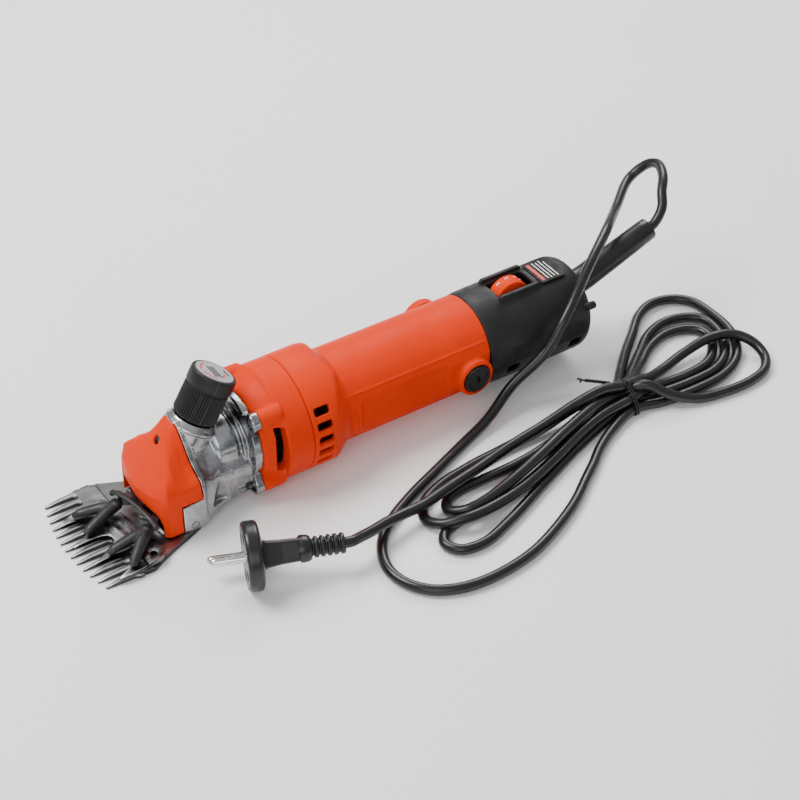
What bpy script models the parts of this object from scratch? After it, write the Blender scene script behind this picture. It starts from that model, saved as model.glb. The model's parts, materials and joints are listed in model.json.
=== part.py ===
"""Electric sheep shears: comb and cutter, gear head, motor grip, rear housing, cord and plug.

Every length below is in millimetres, in the shears' own frame: X runs along the motor axis from the
comb's outer tips (x = 0) towards the cord, Y runs across, Z is up, and z = 0 is the motor axis.
The finished objects are in metres, with the origin under the middle of the tool, on the table.
"""
import math

import bmesh
import bpy
from mathutils import Matrix, Vector

MM = 0.001
GAP = 0.3                       # clearance between touching pieces

# Driving dimensions
AXIS_HEIGHT = 34.0              # motor axis above the table
MID_X = 163.0                   # middle of the tool, from the comb's outer tips
COMB_SPAN = 74.0                # outer tip to outer tip of the comb
COMB_TEETH = 13
COMB_HALF_WIDTH = 39.5
COMB_THICK = 2.9
CUTTER_THICK = 2.9
CUTTER_PITCH = 18.0
PIVOT_X = 70.0                  # the fork swings about the post here
FORK_SWING = 10.0               # degrees each side of the middle
FLANGE_X = 103.6                # rear face of the gear head's flange
RING_END_X = 132.1              # rear face of the front ring
GRIP_START_X = 159.0
GRIP_END_X = 254.0
REAR_END_X = 327.5
BULGE_RADIUS = 34.0
GRIP_RADIUS = 27.4
REAR_RADIUS = 28.8
REAR_AXIS_Z = -0.8
BRUSH_X = 242.2
BRUSH_Z = 3.7                   # one brush sits this far above the motor axis, the other as far below

GEAR_MODULE = 0.6
PINION_TEETH = 8
GEAR_TEETH = 36
PRESSURE_ANGLE = math.radians(25.0)
CRANK_Z = -GEAR_MODULE * (PINION_TEETH + GEAR_TEETH) / 2
ROLLER_X = 88.0
CRANK_THROW = (ROLLER_X - PIVOT_X) * math.tan(math.radians(FORK_SWING))

KNOB_BASE = Vector((76.6, 0.0, 22.7))
KNOB_TILT = 31.5                # degrees the knob leans back from upright
KNOB_AXIS = Vector((math.sin(math.radians(KNOB_TILT)), 0.0, math.cos(math.radians(KNOB_TILT))))

FLOOR_Z = -AXIS_HEIGHT
COMB_TOP = FLOOR_Z + COMB_THICK
CUTTER_LOW = COMB_TOP + GAP
CUTTER_TOP = CUTTER_LOW + CUTTER_THICK
COMB_SCREW_X = 54.0
COMB_SCREW_Y = 13.0
HEAD_LOW = COMB_TOP + GAP
COVER_TILT = 5.0                # the joint between cover and head leans forward at the top
COVER_JOINT_X = 66.3            # where that joint meets z = COVER_JOINT_Z
COVER_JOINT_Z = -12.0
COVER_WALL = 2.2
SCREW_SEAT = Vector((54.6, 0.0, 18.6))
SCREW_OUT = Vector((-0.84, 0.0, 0.54)).normalized()
REACH = 60.0                    # size of cutting blocks that only need to be large

CORD_RADIUS = 3.1
CORD_Z = FLOOR_Z + CORD_RADIUS + 0.2
CORD_EXIT_Y = 2.0
CORD_EXIT_Z = 6.0
HANK_HEIGHT = 16.0
HANK_CLEAR = 1.6
TIE_X = 321.5
PLUG_AXIS = Vector((-0.93, 0.367, 0.0)).normalized()
PLUG_REAR = Vector((113.1, -93.5, -14.8))
PIN_PITCH = 19.0

SWITCH_LOW_Y = -22.5
SWITCH_HIGH_Y = -8.5
SWITCH_LOW_Z = -4.0
SWITCH_HIGH_Z = 9.0
DIAL_CENTER = Vector((284.8, 0.0, 19.0))
GUARD_TILT = 20.0
GUARD_AXIS = Vector((math.cos(math.radians(GUARD_TILT)), 0.0, math.sin(math.radians(GUARD_TILT))))
GUARD_LENGTH = 66.0
GUARD_START = Vector((REAR_END_X - 2.6, CORD_EXIT_Y, CORD_EXIT_Z))

X = Vector((1.0, 0.0, 0.0))
Y = Vector((0.0, 1.0, 0.0))
Z = Vector((0.0, 0.0, 1.0))
SIDES = (("left", 1), ("right", -1))


# ---------------------------------------------------------------- helpers

def clear_scene():
    for obj in list(bpy.data.objects):
        bpy.data.objects.remove(obj, do_unlink=True)


def material(name, color, roughness, metallic=0.0):
    mat = bpy.data.materials.new(name)
    mat.use_nodes = True
    shader = mat.node_tree.nodes["Principled BSDF"]
    shader.inputs["Base Color"].default_value = (*color, 1.0)
    shader.inputs["Roughness"].default_value = roughness
    shader.inputs["Metallic"].default_value = metallic
    mat.diffuse_color = (*color, 1.0)
    return mat


def to_world(point):
    """A point of the shears' frame, in metres over the table."""
    return Vector((point[0] - MID_X, point[1], point[2] + AXIS_HEIGHT)) * MM


def finish(name, bm, mat, origin):
    """Close a bmesh drawn in the shears' frame into an object whose origin is at the given point."""
    bmesh.ops.recalc_face_normals(bm, faces=bm.faces)
    origin = Vector(origin)
    for vert in bm.verts:
        vert.co = (vert.co - origin) * MM
    mesh = bpy.data.meshes.new(name)
    bm.to_mesh(mesh)
    bm.free()
    mesh.materials.append(mat)
    obj = bpy.data.objects.new(name, mesh)
    obj.location = to_world(origin)
    bpy.context.scene.collection.objects.link(obj)
    return obj


def add_rings(bm, rings, loop=False):
    """Skin closed rings of equal length; a loop of rings closes on itself, others get end caps."""
    rows = [[bm.verts.new(point) for point in ring] for ring in rings]
    count = len(rows[0])
    pairs = list(zip(rows, rows[1:]))
    if loop:
        pairs.append((rows[-1], rows[0]))
    for low, high in pairs:
        for i in range(count):
            j = (i + 1) % count
            bm.faces.new((low[i], low[j], high[j], high[i]))
    if not loop:
        bm.faces.new(list(reversed(rows[0])))
        bm.faces.new(rows[-1])


def loft(name, rings, mat, origin=(0, 0, 0), loop=False):
    bm = bmesh.new()
    add_rings(bm, rings, loop)
    bmesh.ops.triangulate(bm, faces=bm.faces)
    return finish(name, bm, mat, origin)


def basis(axis):
    """Two unit vectors square to an axis."""
    axis = Vector(axis).normalized()
    side = Z.cross(axis) if abs(axis.z) < 0.9 else Y.cross(axis)
    side.normalize()
    return side, axis.cross(side)


def circle(center, axis, radius, count, phase=0.0):
    side, up = basis(axis)
    angles = [phase + 2 * math.pi * i / count for i in range(count)]
    return [Vector(center) + side * (radius * math.cos(a)) + up * (radius * math.sin(a)) for a in angles]


def add_turned(bm, start, axis, profile, count, loop=False):
    """Rings of a turned shape: the profile lists (distance along the axis, radius)."""
    axis = Vector(axis).normalized()
    rings = [circle(Vector(start) + axis * along, axis, radius, count) for along, radius in profile]
    add_rings(bm, rings, loop)


def turned(name, start, axis, profile, mat, count=24, loop=False, origin=None):
    bm = bmesh.new()
    add_turned(bm, start, axis, profile, count, loop)
    return finish(name, bm, mat, start if origin is None else origin)


def add_box(bm, low, high, turn=None):
    corners = [(low[0], low[1]), (high[0], low[1]), (high[0], high[1]), (low[0], high[1])]
    rings = [[Vector((x, y, z)) for x, y in corners] for z in (low[2], high[2])]
    if turn is not None:
        rings = [[turn @ point for point in ring] for ring in rings]
    add_rings(bm, rings)


def box(name, low, high, mat, origin=(0, 0, 0), turn=None):
    bm = bmesh.new()
    add_box(bm, low, high, turn)
    return finish(name, bm, mat, origin)


def boxes(name, spans, mat, origin=(0, 0, 0)):
    bm = bmesh.new()
    for low, high in spans:
        add_box(bm, low, high)
    return finish(name, bm, mat, origin)


def prism(name, outline, low, high, mat, origin=(0, 0, 0), turn=None):
    """A flat outline (x, y) drawn up from z = low to z = high."""
    rings = [[Vector((x, y, z)) for x, y in outline] for z in (low, high)]
    if turn is not None:
        rings = [[turn @ point for point in ring] for ring in rings]
    bm = bmesh.new()
    add_rings(bm, rings)
    return finish(name, bm, mat, origin)


def slab_x(name, outline, low, high, mat, origin=(0, 0, 0)):
    """A flat outline (y, z) drawn along X."""
    bm = bmesh.new()
    add_rings(bm, [[Vector((x, y, z)) for y, z in outline] for x in (low, high)])
    return finish(name, bm, mat, origin)


def turn_about(point, angle, axis="Z"):
    """Rotation in degrees about an axis through a point."""
    spin = Matrix.Rotation(math.radians(angle), 4, axis)
    return Matrix.Translation(point) @ spin @ Matrix.Translation(-Vector(point))


def smooth(obj, angle=35.0):
    obj.data.shade_smooth()
    obj.data.set_sharp_from_angle(angle=math.radians(angle))
    return obj


def combine(target, tool, operation):
    tool.hide_render = True
    tool.display_type = "WIRE"
    modifier = target.modifiers.new(tool.name, "BOOLEAN")
    modifier.operation = operation
    modifier.solver = "EXACT"
    modifier.use_self = True
    modifier.object = tool
    return target


def cut(target, *tools):
    for tool in tools:
        combine(target, tool, "DIFFERENCE")
    return target


def join(target, *tools):
    for tool in tools:
        combine(target, tool, "UNION")
    return target


def arc(center, radius, start, end, count):
    """Points of a flat arc, angles in degrees, both ends included."""
    steps = [start + (end - start) * i / (count - 1) for i in range(count)]
    return [(center[0] + radius * math.cos(math.radians(a)),
             center[1] + radius * math.sin(math.radians(a))) for a in steps]


# ---------------------------------------------------------------- comb and cutter

def comb_outline():
    """Plan of the comb: teeth along a bowed front, a body that narrows to the heel."""
    root_x = 17.5
    bow = 5.6
    root_half = 1.95
    waist_half = 1.6
    tip_half = 0.25
    pitch = COMB_SPAN / (COMB_TEETH - 1)
    points = [(64.0, -24.0), (64.0, 24.0), (43.5, 32.0), (27.5, COMB_HALF_WIDTH)]
    for i in range(COMB_TEETH):
        y = COMB_SPAN / 2 - i * pitch
        tip_x = -bow * (1 - (y / (COMB_SPAN / 2)) ** 2)
        if i > 0:
            points.append((root_x, y + root_half))
        points.append((tip_x + 9.0, y + waist_half))
        points.append((tip_x, y + tip_half))
        points.append((tip_x, y - tip_half))
        points.append((tip_x + 9.0, y - waist_half))
        if i < COMB_TEETH - 1:
            points.append((root_x, y - root_half))
    points += [(27.5, -COMB_HALF_WIDTH), (43.5, -32.0)]
    return points


def build_comb(steel):
    top = COMB_TOP
    comb = prism("comb", comb_outline(), FLOOR_Z, top, steel)
    slots = bmesh.new()
    for side in (1, -1):
        y = side * COMB_SCREW_Y
        add_box(slots, (COMB_SCREW_X, y - 2.4, FLOOR_Z - 1), (70.0, y + 2.4, top + 1))
        add_box(slots, (COMB_SCREW_X - 1.2, y - 4.6, FLOOR_Z - 1), (70.0, y + 4.6, FLOOR_Z + 1.9))
    cut(comb, finish("comb_slot_tool", slots, steel, (0, 0, 0)))
    head = 1.3
    profile = [(0, 3.9), (head, 3.9), (head, 1.9), (COMB_THICK + 2.4, 1.9)]
    for name, side in SIDES:
        start = (COMB_SCREW_X + 3.5, side * COMB_SCREW_Y, FLOOR_Z + 0.2)
        smooth(turned(f"comb_screw_{name}", start, Z, profile, steel, 12))


def cutter_outline():
    """Plan of the cutter before it is swung: four points joined by three arches."""
    tips = []
    for i in range(4):
        y = 1.5 * CUTTER_PITCH - i * CUTTER_PITCH
        tip_x = -1.2 if 0 < i < 3 else 2.2
        tips.append((tip_x, y))
    points = [(33.0, -26.0), (33.0, 26.0), (28.0, 30.5), (17.0, 30.6)]
    for i, (tip_x, y) in enumerate(tips):
        points.append((tip_x, y + 0.3))
        points.append((tip_x, y - 0.3))
        if i < 3:
            points += [(13.0, y - 3.6), (16.4, y - 5.2), (17.6, y - 9.0)]
            points += [(16.4, y - 12.8), (13.0, y - 14.4)]
    points += [(17.0, -30.6), (28.0, -30.5)]
    return points


def build_cutter(steel, swing):
    low = CUTTER_LOW
    pivot = (PIVOT_X, 0, low)
    cutter = prism("cutter", cutter_outline(), low, low + CUTTER_THICK, steel, pivot, swing)
    hole_at = swing @ Vector((26.0, -25.5, low - 1))
    hole = turned("cutter_hole_tool", hole_at, Z, [(0, 1.5), (6, 1.5)], steel, 10)
    return cut(cutter, hole)


# ---------------------------------------------------------------- fork

def limb(points_and_radii, count=8):
    """Rings of a round limb along a bent line."""
    points = [Vector(p) for p, r in points_and_radii]
    rings = []
    for i, (point, radius) in enumerate(points_and_radii):
        before = points[max(i - 1, 0)]
        after = points[min(i + 1, len(points) - 1)]
        axis = (after - before).normalized()
        side = axis.cross(Z).normalized()
        up = side.cross(axis)
        angles = [2 * math.pi * (k + 0.5) / count for k in range(count)]
        rings.append([point + side * (radius * math.cos(a)) + up * (radius * math.sin(a)) for a in angles])
    return rings


def swung(rings, swing):
    return [[swing @ point for point in ring] for ring in rings]


def build_fork(steel, black, swing):
    pivot = Vector((PIVOT_X, 0, CRANK_Z))
    slot_half = 3.4 + 2 * CRANK_THROW + 0.5     # the roller's radius and the whole stroke
    arm_low = -23.5
    arm_top = -11.0
    end_x = ROLLER_X + 2.4
    half = [(end_x, slot_half), (end_x, slot_half + 2.4), (78.0, slot_half + 2.4), (PIVOT_X, 8.0),
            (56.0, 7.0), (45.0, 9.8), (37.0, 15.8), (34.5, 16.4), (34.0, 12.5), (39.0, 8.5), (45.0, 3.5)]
    outline = [(79.0, slot_half)] + half + [(x, -y) for x, y in reversed(half)] + [(79.0, -slot_half)]
    fork = prism("fork", outline, arm_low, arm_top, steel, pivot, swing)
    socket = turned("fork_socket_tool", (PIVOT_X, 0, arm_low - 1), Z, [(0, 3.6), (7.0, 3.6)], steel, 16)
    saddle_z = -12.5
    slope = bmesh.new()
    add_box(slope, (20.0, -30.0, -18.6), (48.0, 30.0, -5.0))
    add_box(slope, (48.0, -20.0, saddle_z), (64.0, 20.0, -5.0))
    cut(fork, socket, finish("fork_top_tool", slope, steel, (0, 0, 0)))

    for name, side in (("yoke_left", 1), ("yoke_right", -1)):
        apex = Vector((30.0, side * 13.8, -22.6))
        foot_z = CUTTER_TOP + GAP + 2.4
        outer = Vector((11.0, side * 27.0, foot_z))
        inner = Vector((7.5, side * 10.0, foot_z))
        yoke = loft(name, swung(limb([(apex + Vector((2.6, side * -1.2, 0.6)), 2.4), (apex, 3.1),
                                      (apex.lerp(outer, 0.5), 3.1), (outer, 2.4)]), swing), black, pivot)
        leg = loft(name + "_leg_tool", swung(limb([(apex + Vector((2.6, side * 1.2, 0.4)), 2.3), (apex, 3.0),
                                                   (apex.lerp(inner, 0.5), 3.1), (inner, 2.3)]), swing),
                   black, pivot)
        smooth(join(yoke, leg))

    strap = limb([(Vector((33.6, 19.3, -20.0)), 1.1), (Vector((34.0, 15.5, -16.3)), 1.3),
                  (Vector((34.6, 0.0, -15.6)), 1.3), (Vector((34.0, -15.5, -16.3)), 1.3),
                  (Vector((33.6, -19.3, -20.0)), 1.1)], 6)
    smooth(loft("yoke_spring", swung(strap, swing), black, pivot))


def build_fork_post(steel):
    bed_top = HEAD_LOW + 3.6
    top = -17.9
    profile = [(0, 4.6), (2.2, 4.6), (2.2, 3.2), (top - bed_top - 1.0, 3.2), (top - bed_top, 2.4)]
    smooth(turned("fork_post", (PIVOT_X, 0, bed_top + GAP), Z, profile, steel, 16))


# ---------------------------------------------------------------- gear head and its cover

def roof_section(x, half, low, shoulder, ridge_half, ridge):
    """A cross-section with upright sides and a roof: closed ring of points at one x."""
    chamfer = 2.5
    right = [(-half + 1.5, low), (-half, low + 1.5), (-half, shoulder - chamfer),
             (-half + 1.0, shoulder), (-ridge_half - 2.0, ridge - 1.2), (-ridge_half + 2.0, ridge)]
    left = [(-y, z) for y, z in reversed(right)]
    return [Vector((x, y, z)) for y, z in right + left]


def joint_plane_box(name, mat, ahead):
    """A big block ahead of (or behind) the leaning joint plane, a gap apart from each other."""
    if ahead:
        x = COVER_JOINT_X + GAP
        low_x, high_x, low_z = x - REACH, x, COVER_JOINT_Z + 0.2
    else:
        x = COVER_JOINT_X
        low_x, high_x, low_z = x, x + REACH, COVER_JOINT_Z - REACH
    turn = turn_about((x, 0, COVER_JOINT_Z), -COVER_TILT, "Y")
    return box(name, (low_x, -REACH, low_z), (high_x, REACH, REACH), mat, turn=turn)


def build_cover(orange, steel):
    wall = COVER_WALL
    outer = [roof_section(37.5, 16.0, -45.0, -8.0, 9.0, -6.0),
             roof_section(39.5, 21.5, -45.0, -2.5, 14.0, -1.0),
             roof_section(42.0, 24.6, -45.0, -1.0, 17.0, 3.0),
             roof_section(45.5, 26.0, -45.0, -0.5, 15.0, 7.2),
             roof_section(52.0, 26.0, -45.0, 0.0, 9.0, 14.5),
             roof_section(60.0, 26.0, -45.0, 0.0, 4.6, 23.0),
             roof_section(72.0, 26.0, -45.0, -2.0, 4.6, 28.6)]
    inner = [roof_section(37.5 + wall, 16.0 - wall, -50.0, -8.0 - wall, 8.0, -6.0 - wall),
             roof_section(41.5, 21.5 - wall, -50.0, -2.5 - wall, 12.0, -1.0 - wall),
             roof_section(44.0, 24.6 - wall, -50.0, -1.0 - wall, 15.0, 2.0 - wall),
             roof_section(47.5, 26.0 - wall, -50.0, -0.5 - wall, 13.0, 6.0 - wall),
             roof_section(53.5, 26.0 - wall, -50.0, 0.0 - wall, 7.5, 13.2 - wall),
             roof_section(61.5, 26.0 - wall, -50.0, 0.0 - wall, 3.8, 22.4 - wall),
             roof_section(75.0, 26.0 - wall, -50.0, -2.0 - wall, 3.8, 28.6 - wall)]
    cover = loft("head_cover", outer, orange)
    bm = bmesh.new()
    add_box(bm, (30.0, -60.0, -60.0), (100.0, 60.0, HEAD_LOW + 1.2))
    add_box(bm, (53.4, -60.0, -60.0), (100.0, 60.0, -11.5))
    below = finish("cover_below_tool", bm, orange, (0, 0, 0))
    arch_side = [(23.6, -60.0), (23.6, -24.0), (22.6, -18.0), (18.0, -14.8), (10.0, -13.8)]
    arch_outline = arch_side + [(-y, z) for y, z in reversed(arch_side)]
    arch = slab_x("cover_arch_tool", arch_outline, 30.0, 52.0, orange)
    hollow = loft("cover_hollow_tool", inner, orange)
    rear = joint_plane_box("cover_rear_tool", orange, ahead=False)
    hole = turned("cover_hole_tool", SCREW_SEAT - SCREW_OUT * 8, SCREW_OUT, [(0, 2.3), (20, 2.3)], orange, 12)
    cut(cover, hollow, below, arch, rear, hole)
    smooth(cover, 28.0)
    profile = [(0, 1.2), (7.0, 1.2), (7.0, 2.0), (9.4, 2.0)]
    smooth(turned("cover_screw", SCREW_SEAT - SCREW_OUT * 10.5, SCREW_OUT, profile, steel, 12))


def ear_positions():
    return [Vector((0, y, z)) for y in (21.0, -21.0) for z in (22.0, -22.0)]


def build_head(aluminium, steel):
    body = [roof_section(48.0, 25.0, HEAD_LOW, -0.5, 8.0, 12.0),
            roof_section(60.0, 25.5, HEAD_LOW, -1.0, 4.4, 22.0),
            roof_section(67.0, 25.5, HEAD_LOW, -2.0, 5.0, 25.6),
            roof_section(75.0, 24.0, -30.0, -2.0, 9.0, 19.5),
            roof_section(84.0, 21.0, -28.0, 4.0, 10.0, 15.5),
            roof_section(92.0, 20.5, -27.0, 5.0, 9.0, 13.5),
            roof_section(100.5, 21.0, -27.0, 10.0, 12.0, 20.5)]
    head = loft("gear_head", body, aluminium)
    front = joint_plane_box("head_front_tool", aluminium, ahead=True)
    nose = bmesh.new()
    add_box(nose, (40.0, -30.0, -40.0), (53.4 + GAP, 30.0, 60.0))
    bed = prism("head_bed_tool", [(43.0, -21.0), (56.0, -23.0), (56.0, 23.0), (43.0, 21.0)] +
                arc((43.0, 0.0), 4.0, 120, 240, 5), HEAD_LOW, HEAD_LOW + 3.6, aluminium)
    collar = turned("head_collar_tool", KNOB_BASE, KNOB_AXIS,
                    [(-14.0, 15.2), (-4.6, 15.2), (-4.2, 16.0), (-3.0, 16.0)], aluminium, 28)
    flange = bmesh.new()
    add_turned(flange, (99.4, 0, 0), X, [(0, 26.2), (FLANGE_X - 99.4, 26.2)], 28)
    flange = finish("head_flange_tool", flange, aluminium, (0, 0, 0))
    join(head, collar)
    cut(head, front, finish("head_nose_tool", nose, aluminium, (0, 0, 0)))
    join(head, bed, flange)
    for i, ear in enumerate(ear_positions()):
        lug_profile = [(0, 5.4), (FLANGE_X - 98.6, 5.4)]
        lug = turned(f"head_ear_tool_{i}", ear + X * 98.6, X, lug_profile, aluminium, 14)
        join(head, lug)

    cavity = [roof_section(40.0, 21.5, HEAD_LOW + 3.6, -4.5, 5.0, 10.0),
              roof_section(62.0, 21.5, HEAD_LOW + 3.6, -4.5, 4.0, 13.0),
              roof_section(76.0, 20.5, -27.3, -4.0, 7.0, 9.0),
              roof_section(86.0, 18.0, -25.5, -2.0, 7.0, 8.0),
              roof_section(93.0, 17.6, -24.6, -2.0, 7.0, 8.0)]
    cavity_tool = loft("head_cavity_tool", cavity, aluminium)
    bores = bmesh.new()
    add_turned(bores, (92.0, 0, CRANK_Z), X, [(0, 6.9), (20, 6.9)], 20)
    add_turned(bores, KNOB_BASE, KNOB_AXIS, [(-30, 5.3), (6, 5.3)], 20)
    add_turned(bores, SCREW_SEAT - SCREW_OUT * 18.0, SCREW_OUT, [(0, 1.5), (20, 1.5)], 10)
    for side in (1, -1):
        screw = Vector((COMB_SCREW_X + 3.5, side * COMB_SCREW_Y, HEAD_LOW - 2))
        add_turned(bores, screw, Z, [(0, 2.2), (8.0, 2.2)], 10)
    for ear in ear_positions():
        add_turned(bores, ear + X * 90, X, [(0, 2.4), (20, 2.4)], 10)
        add_turned(bores, ear + X * 90, X, [(0, 3.9), (11.6, 3.9)], 12)
    cut(head, cavity_tool, finish("head_bore_tool", bores, aluminium, (0, 0, 0)))
    smooth(head, 30.0)

    for i, ear in enumerate(ear_positions()):
        screw = [(0, 3.4), (1.3, 3.4), (1.3, 2.0), (13.0, 2.0)]
        smooth(turned(f"flange_screw_{i + 1}", ear + X * 100.0, X, screw, steel, 12))


def build_tension(steel, black, grey):
    bush = [(-29.5, 3.0), (-29.5, 4.9), (-2.7, 4.9), (-2.7, 7.0), (20.0, 7.0), (20.0, 3.0)]
    smooth(turned("tension_bush", KNOB_BASE, KNOB_AXIS, bush, steel, 18, loop=True))
    pin = [(-40.2, 1.2), (-38.8, 2.6), (18.0, 2.6)]
    smooth(turned("tension_pin", KNOB_BASE, KNOB_AXIS, pin, steel, 14))

    count = 48
    side, up = basis(KNOB_AXIS)

    def ring(along, radius, depth=0.0):
        points = []
        for i in range(count):
            angle = 2 * math.pi * i / count
            r = radius - (depth if i % 2 else 0.0)
            spoke = side * math.cos(angle) + up * math.sin(angle)
            points.append(KNOB_BASE + KNOB_AXIS * along + spoke * r)
        return points

    skirt = 0.45
    rings = [ring(1.2, 7.4), ring(1.2, 12.0), ring(2.0, 12.9, skirt), ring(18.4, 12.9, skirt),
             ring(18.8, 12.0), ring(20.2, 12.0), ring(20.6, 13.7), ring(27.4, 13.7), ring(28.6, 12.6), ring(28.6, 11.4),
             ring(27.8, 11.2), ring(27.8, 4.0), ring(20.4, 4.0), ring(20.4, 7.4)]
    knob = loft("tension_knob", rings, black, KNOB_BASE, loop=True)
    smooth(knob, 25.0)
    badge = [(22.0, 3.6), (28.1, 3.6), (28.1, 10.8), (28.9, 10.8)]
    smooth(turned("knob_badge", KNOB_BASE, KNOB_AXIS, badge, grey, 28))


# ---------------------------------------------------------------- crank, gears and front ring

def involute(radius, base_radius):
    angle = math.acos(min(base_radius / radius, 1.0))
    return math.tan(angle) - angle


def gear_ring(teeth, x, center_z, first_tooth):
    """One ring of an involute gear's outline in the YZ plane; first_tooth is an angle from +Z."""
    backlash = 0.16
    pitch_radius = GEAR_MODULE * teeth / 2
    base_radius = pitch_radius * math.cos(PRESSURE_ANGLE)
    root = pitch_radius - 1.1 * GEAR_MODULE
    tip = pitch_radius + 0.8 * GEAR_MODULE
    half_pitch = math.pi / (2 * teeth) - backlash / (2 * pitch_radius)
    at_pitch = involute(pitch_radius, base_radius)
    flank = []
    for radius in (root, max(base_radius, root), pitch_radius, tip):
        half = half_pitch + at_pitch - involute(max(radius, base_radius), base_radius)
        flank.append((radius, half))
    points = []
    for tooth in range(teeth):
        middle = first_tooth + 2 * math.pi * tooth / teeth
        profile = [(r, middle - half) for r, half in flank]
        profile += [(r, middle + half) for r, half in reversed(flank)]
        for radius, angle in profile:
            points.append(Vector((x, radius * math.sin(angle), center_z + radius * math.cos(angle))))
    return points


def build_crank(steel, brass):
    start = (ROLLER_X - 4.0, 0, CRANK_Z)
    axle = (0, 0, CRANK_Z)
    web = circle((92.2, 0, CRANK_Z), X, 6.3, 16)
    shaft = [web, circle((93.6, 0, CRANK_Z), X, 6.3, 16), circle((93.6, 0, CRANK_Z), X, 3.0, 16),
             circle((118.0, 0, CRANK_Z), X, 3.0, 16), circle((118.0, 0, CRANK_Z), X, 2.0, 16),
             circle((123.4, 0, CRANK_Z), X, 2.0, 16)]
    crank = loft("crankshaft", shaft, steel, (93.0, 0, CRANK_Z))
    pin_center = Vector((0, CRANK_THROW, CRANK_Z))
    pin = turned("crank_pin_tool", pin_center + X * 82.6, X, [(0, 1.6), (11.0, 1.6)], steel, 12)
    smooth(join(crank, pin))
    roller = [(0, 2.0), (0, 3.4), (7.6, 3.4), (7.6, 2.0)]
    smooth(turned("crank_roller", pin_center + X * 84.0, X, roller, steel, 16, loop=True))
    half_tooth = math.pi / GEAR_TEETH
    gear_rings = [gear_ring(GEAR_TEETH, x, CRANK_Z, half_tooth) for x in (108.0, 114.0)]
    gear = loft("driven_gear", gear_rings, steel, (111.0, 0, CRANK_Z))
    bore = turned("gear_bore_tool", (100.0, 0, CRANK_Z), X, [(0, 3.3), (20, 3.3)], steel, 16)
    cut(gear, bore)
    front = [(0, 3.3), (0, 6.6), (6.0, 6.6), (6.0, 3.3)]
    smooth(turned("crank_bearing_front", (94.8, 0, CRANK_Z), X, front, steel, 16, loop=True))
    rear = [(0, 2.3), (0, 4.2), (4.4, 4.2), (4.4, 2.3)]
    smooth(turned("crank_bearing_rear", (118.6, 0, CRANK_Z), X, rear, brass, 14, loop=True))


def build_gear_plate(aluminium):
    plate = turned("gear_plate", (117.4, 0, 0), X, [(0, 30.6), (6.4, 30.6)], aluminium, 32)
    bores = bmesh.new()
    add_turned(bores, (110.0, 0, CRANK_Z), X, [(0, 4.5), (20, 4.5)], 14)
    add_turned(bores, (110.0, 0, 0), X, [(0, 7.9), (20, 7.9)], 18)
    for y, z in ((21.0, 0.0), (-21.0, 0.0), (0.0, 21.0)):
        add_turned(bores, (110.0, y, z), X, [(0, 1.7), (20, 1.7)], 8)
    smooth(cut(plate, finish("plate_bore_tool", bores, aluminium, (0, 0, 0))))


def build_front_ring(orange):
    start = FLANGE_X + GAP
    outside = [(start, 27.0), (116.0, 32.4), (117.2, 33.4), (RING_END_X, BULGE_RADIUS - 0.1)]
    hollow = [(start - 1.0, 25.0), (117.1, 25.0), (117.1, 31.0), (RING_END_X + 1.0, 31.0)]
    ring = turned("front_ring", (0, 0, 0), X, outside, orange, 32)
    for i, ear in enumerate(ear_positions()):
        rib = turned(f"ring_rib_tool_{i}", ear + X * start, X, [(0, 5.3), (14.0, 5.3)], orange, 12)
        join(ring, rib)
    inside = turned("ring_inside_tool", (0, 0, 0), X, hollow, orange, 32)
    cut(ring, inside)
    tools = bmesh.new()
    for side in (1, -1):
        low, high = sorted((side * 28.2, side * 40.0))
        add_box(tools, (90.0, low, -15.5), (116.4, high, 15.5))
        low, high = sorted((side * 15.0, side * 40.0))
        add_box(tools, (111.6, low, -12.5), (115.8, high, 12.5))
    for ear in ear_positions():
        add_turned(tools, ear + X * 90.0, X, [(0, 2.3), (25.0, 2.3)], 10)
    smooth(cut(ring, finish("ring_slot_tool", tools, orange, (0, 0, 0))), 30.0)


# ---------------------------------------------------------------- motor

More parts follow.
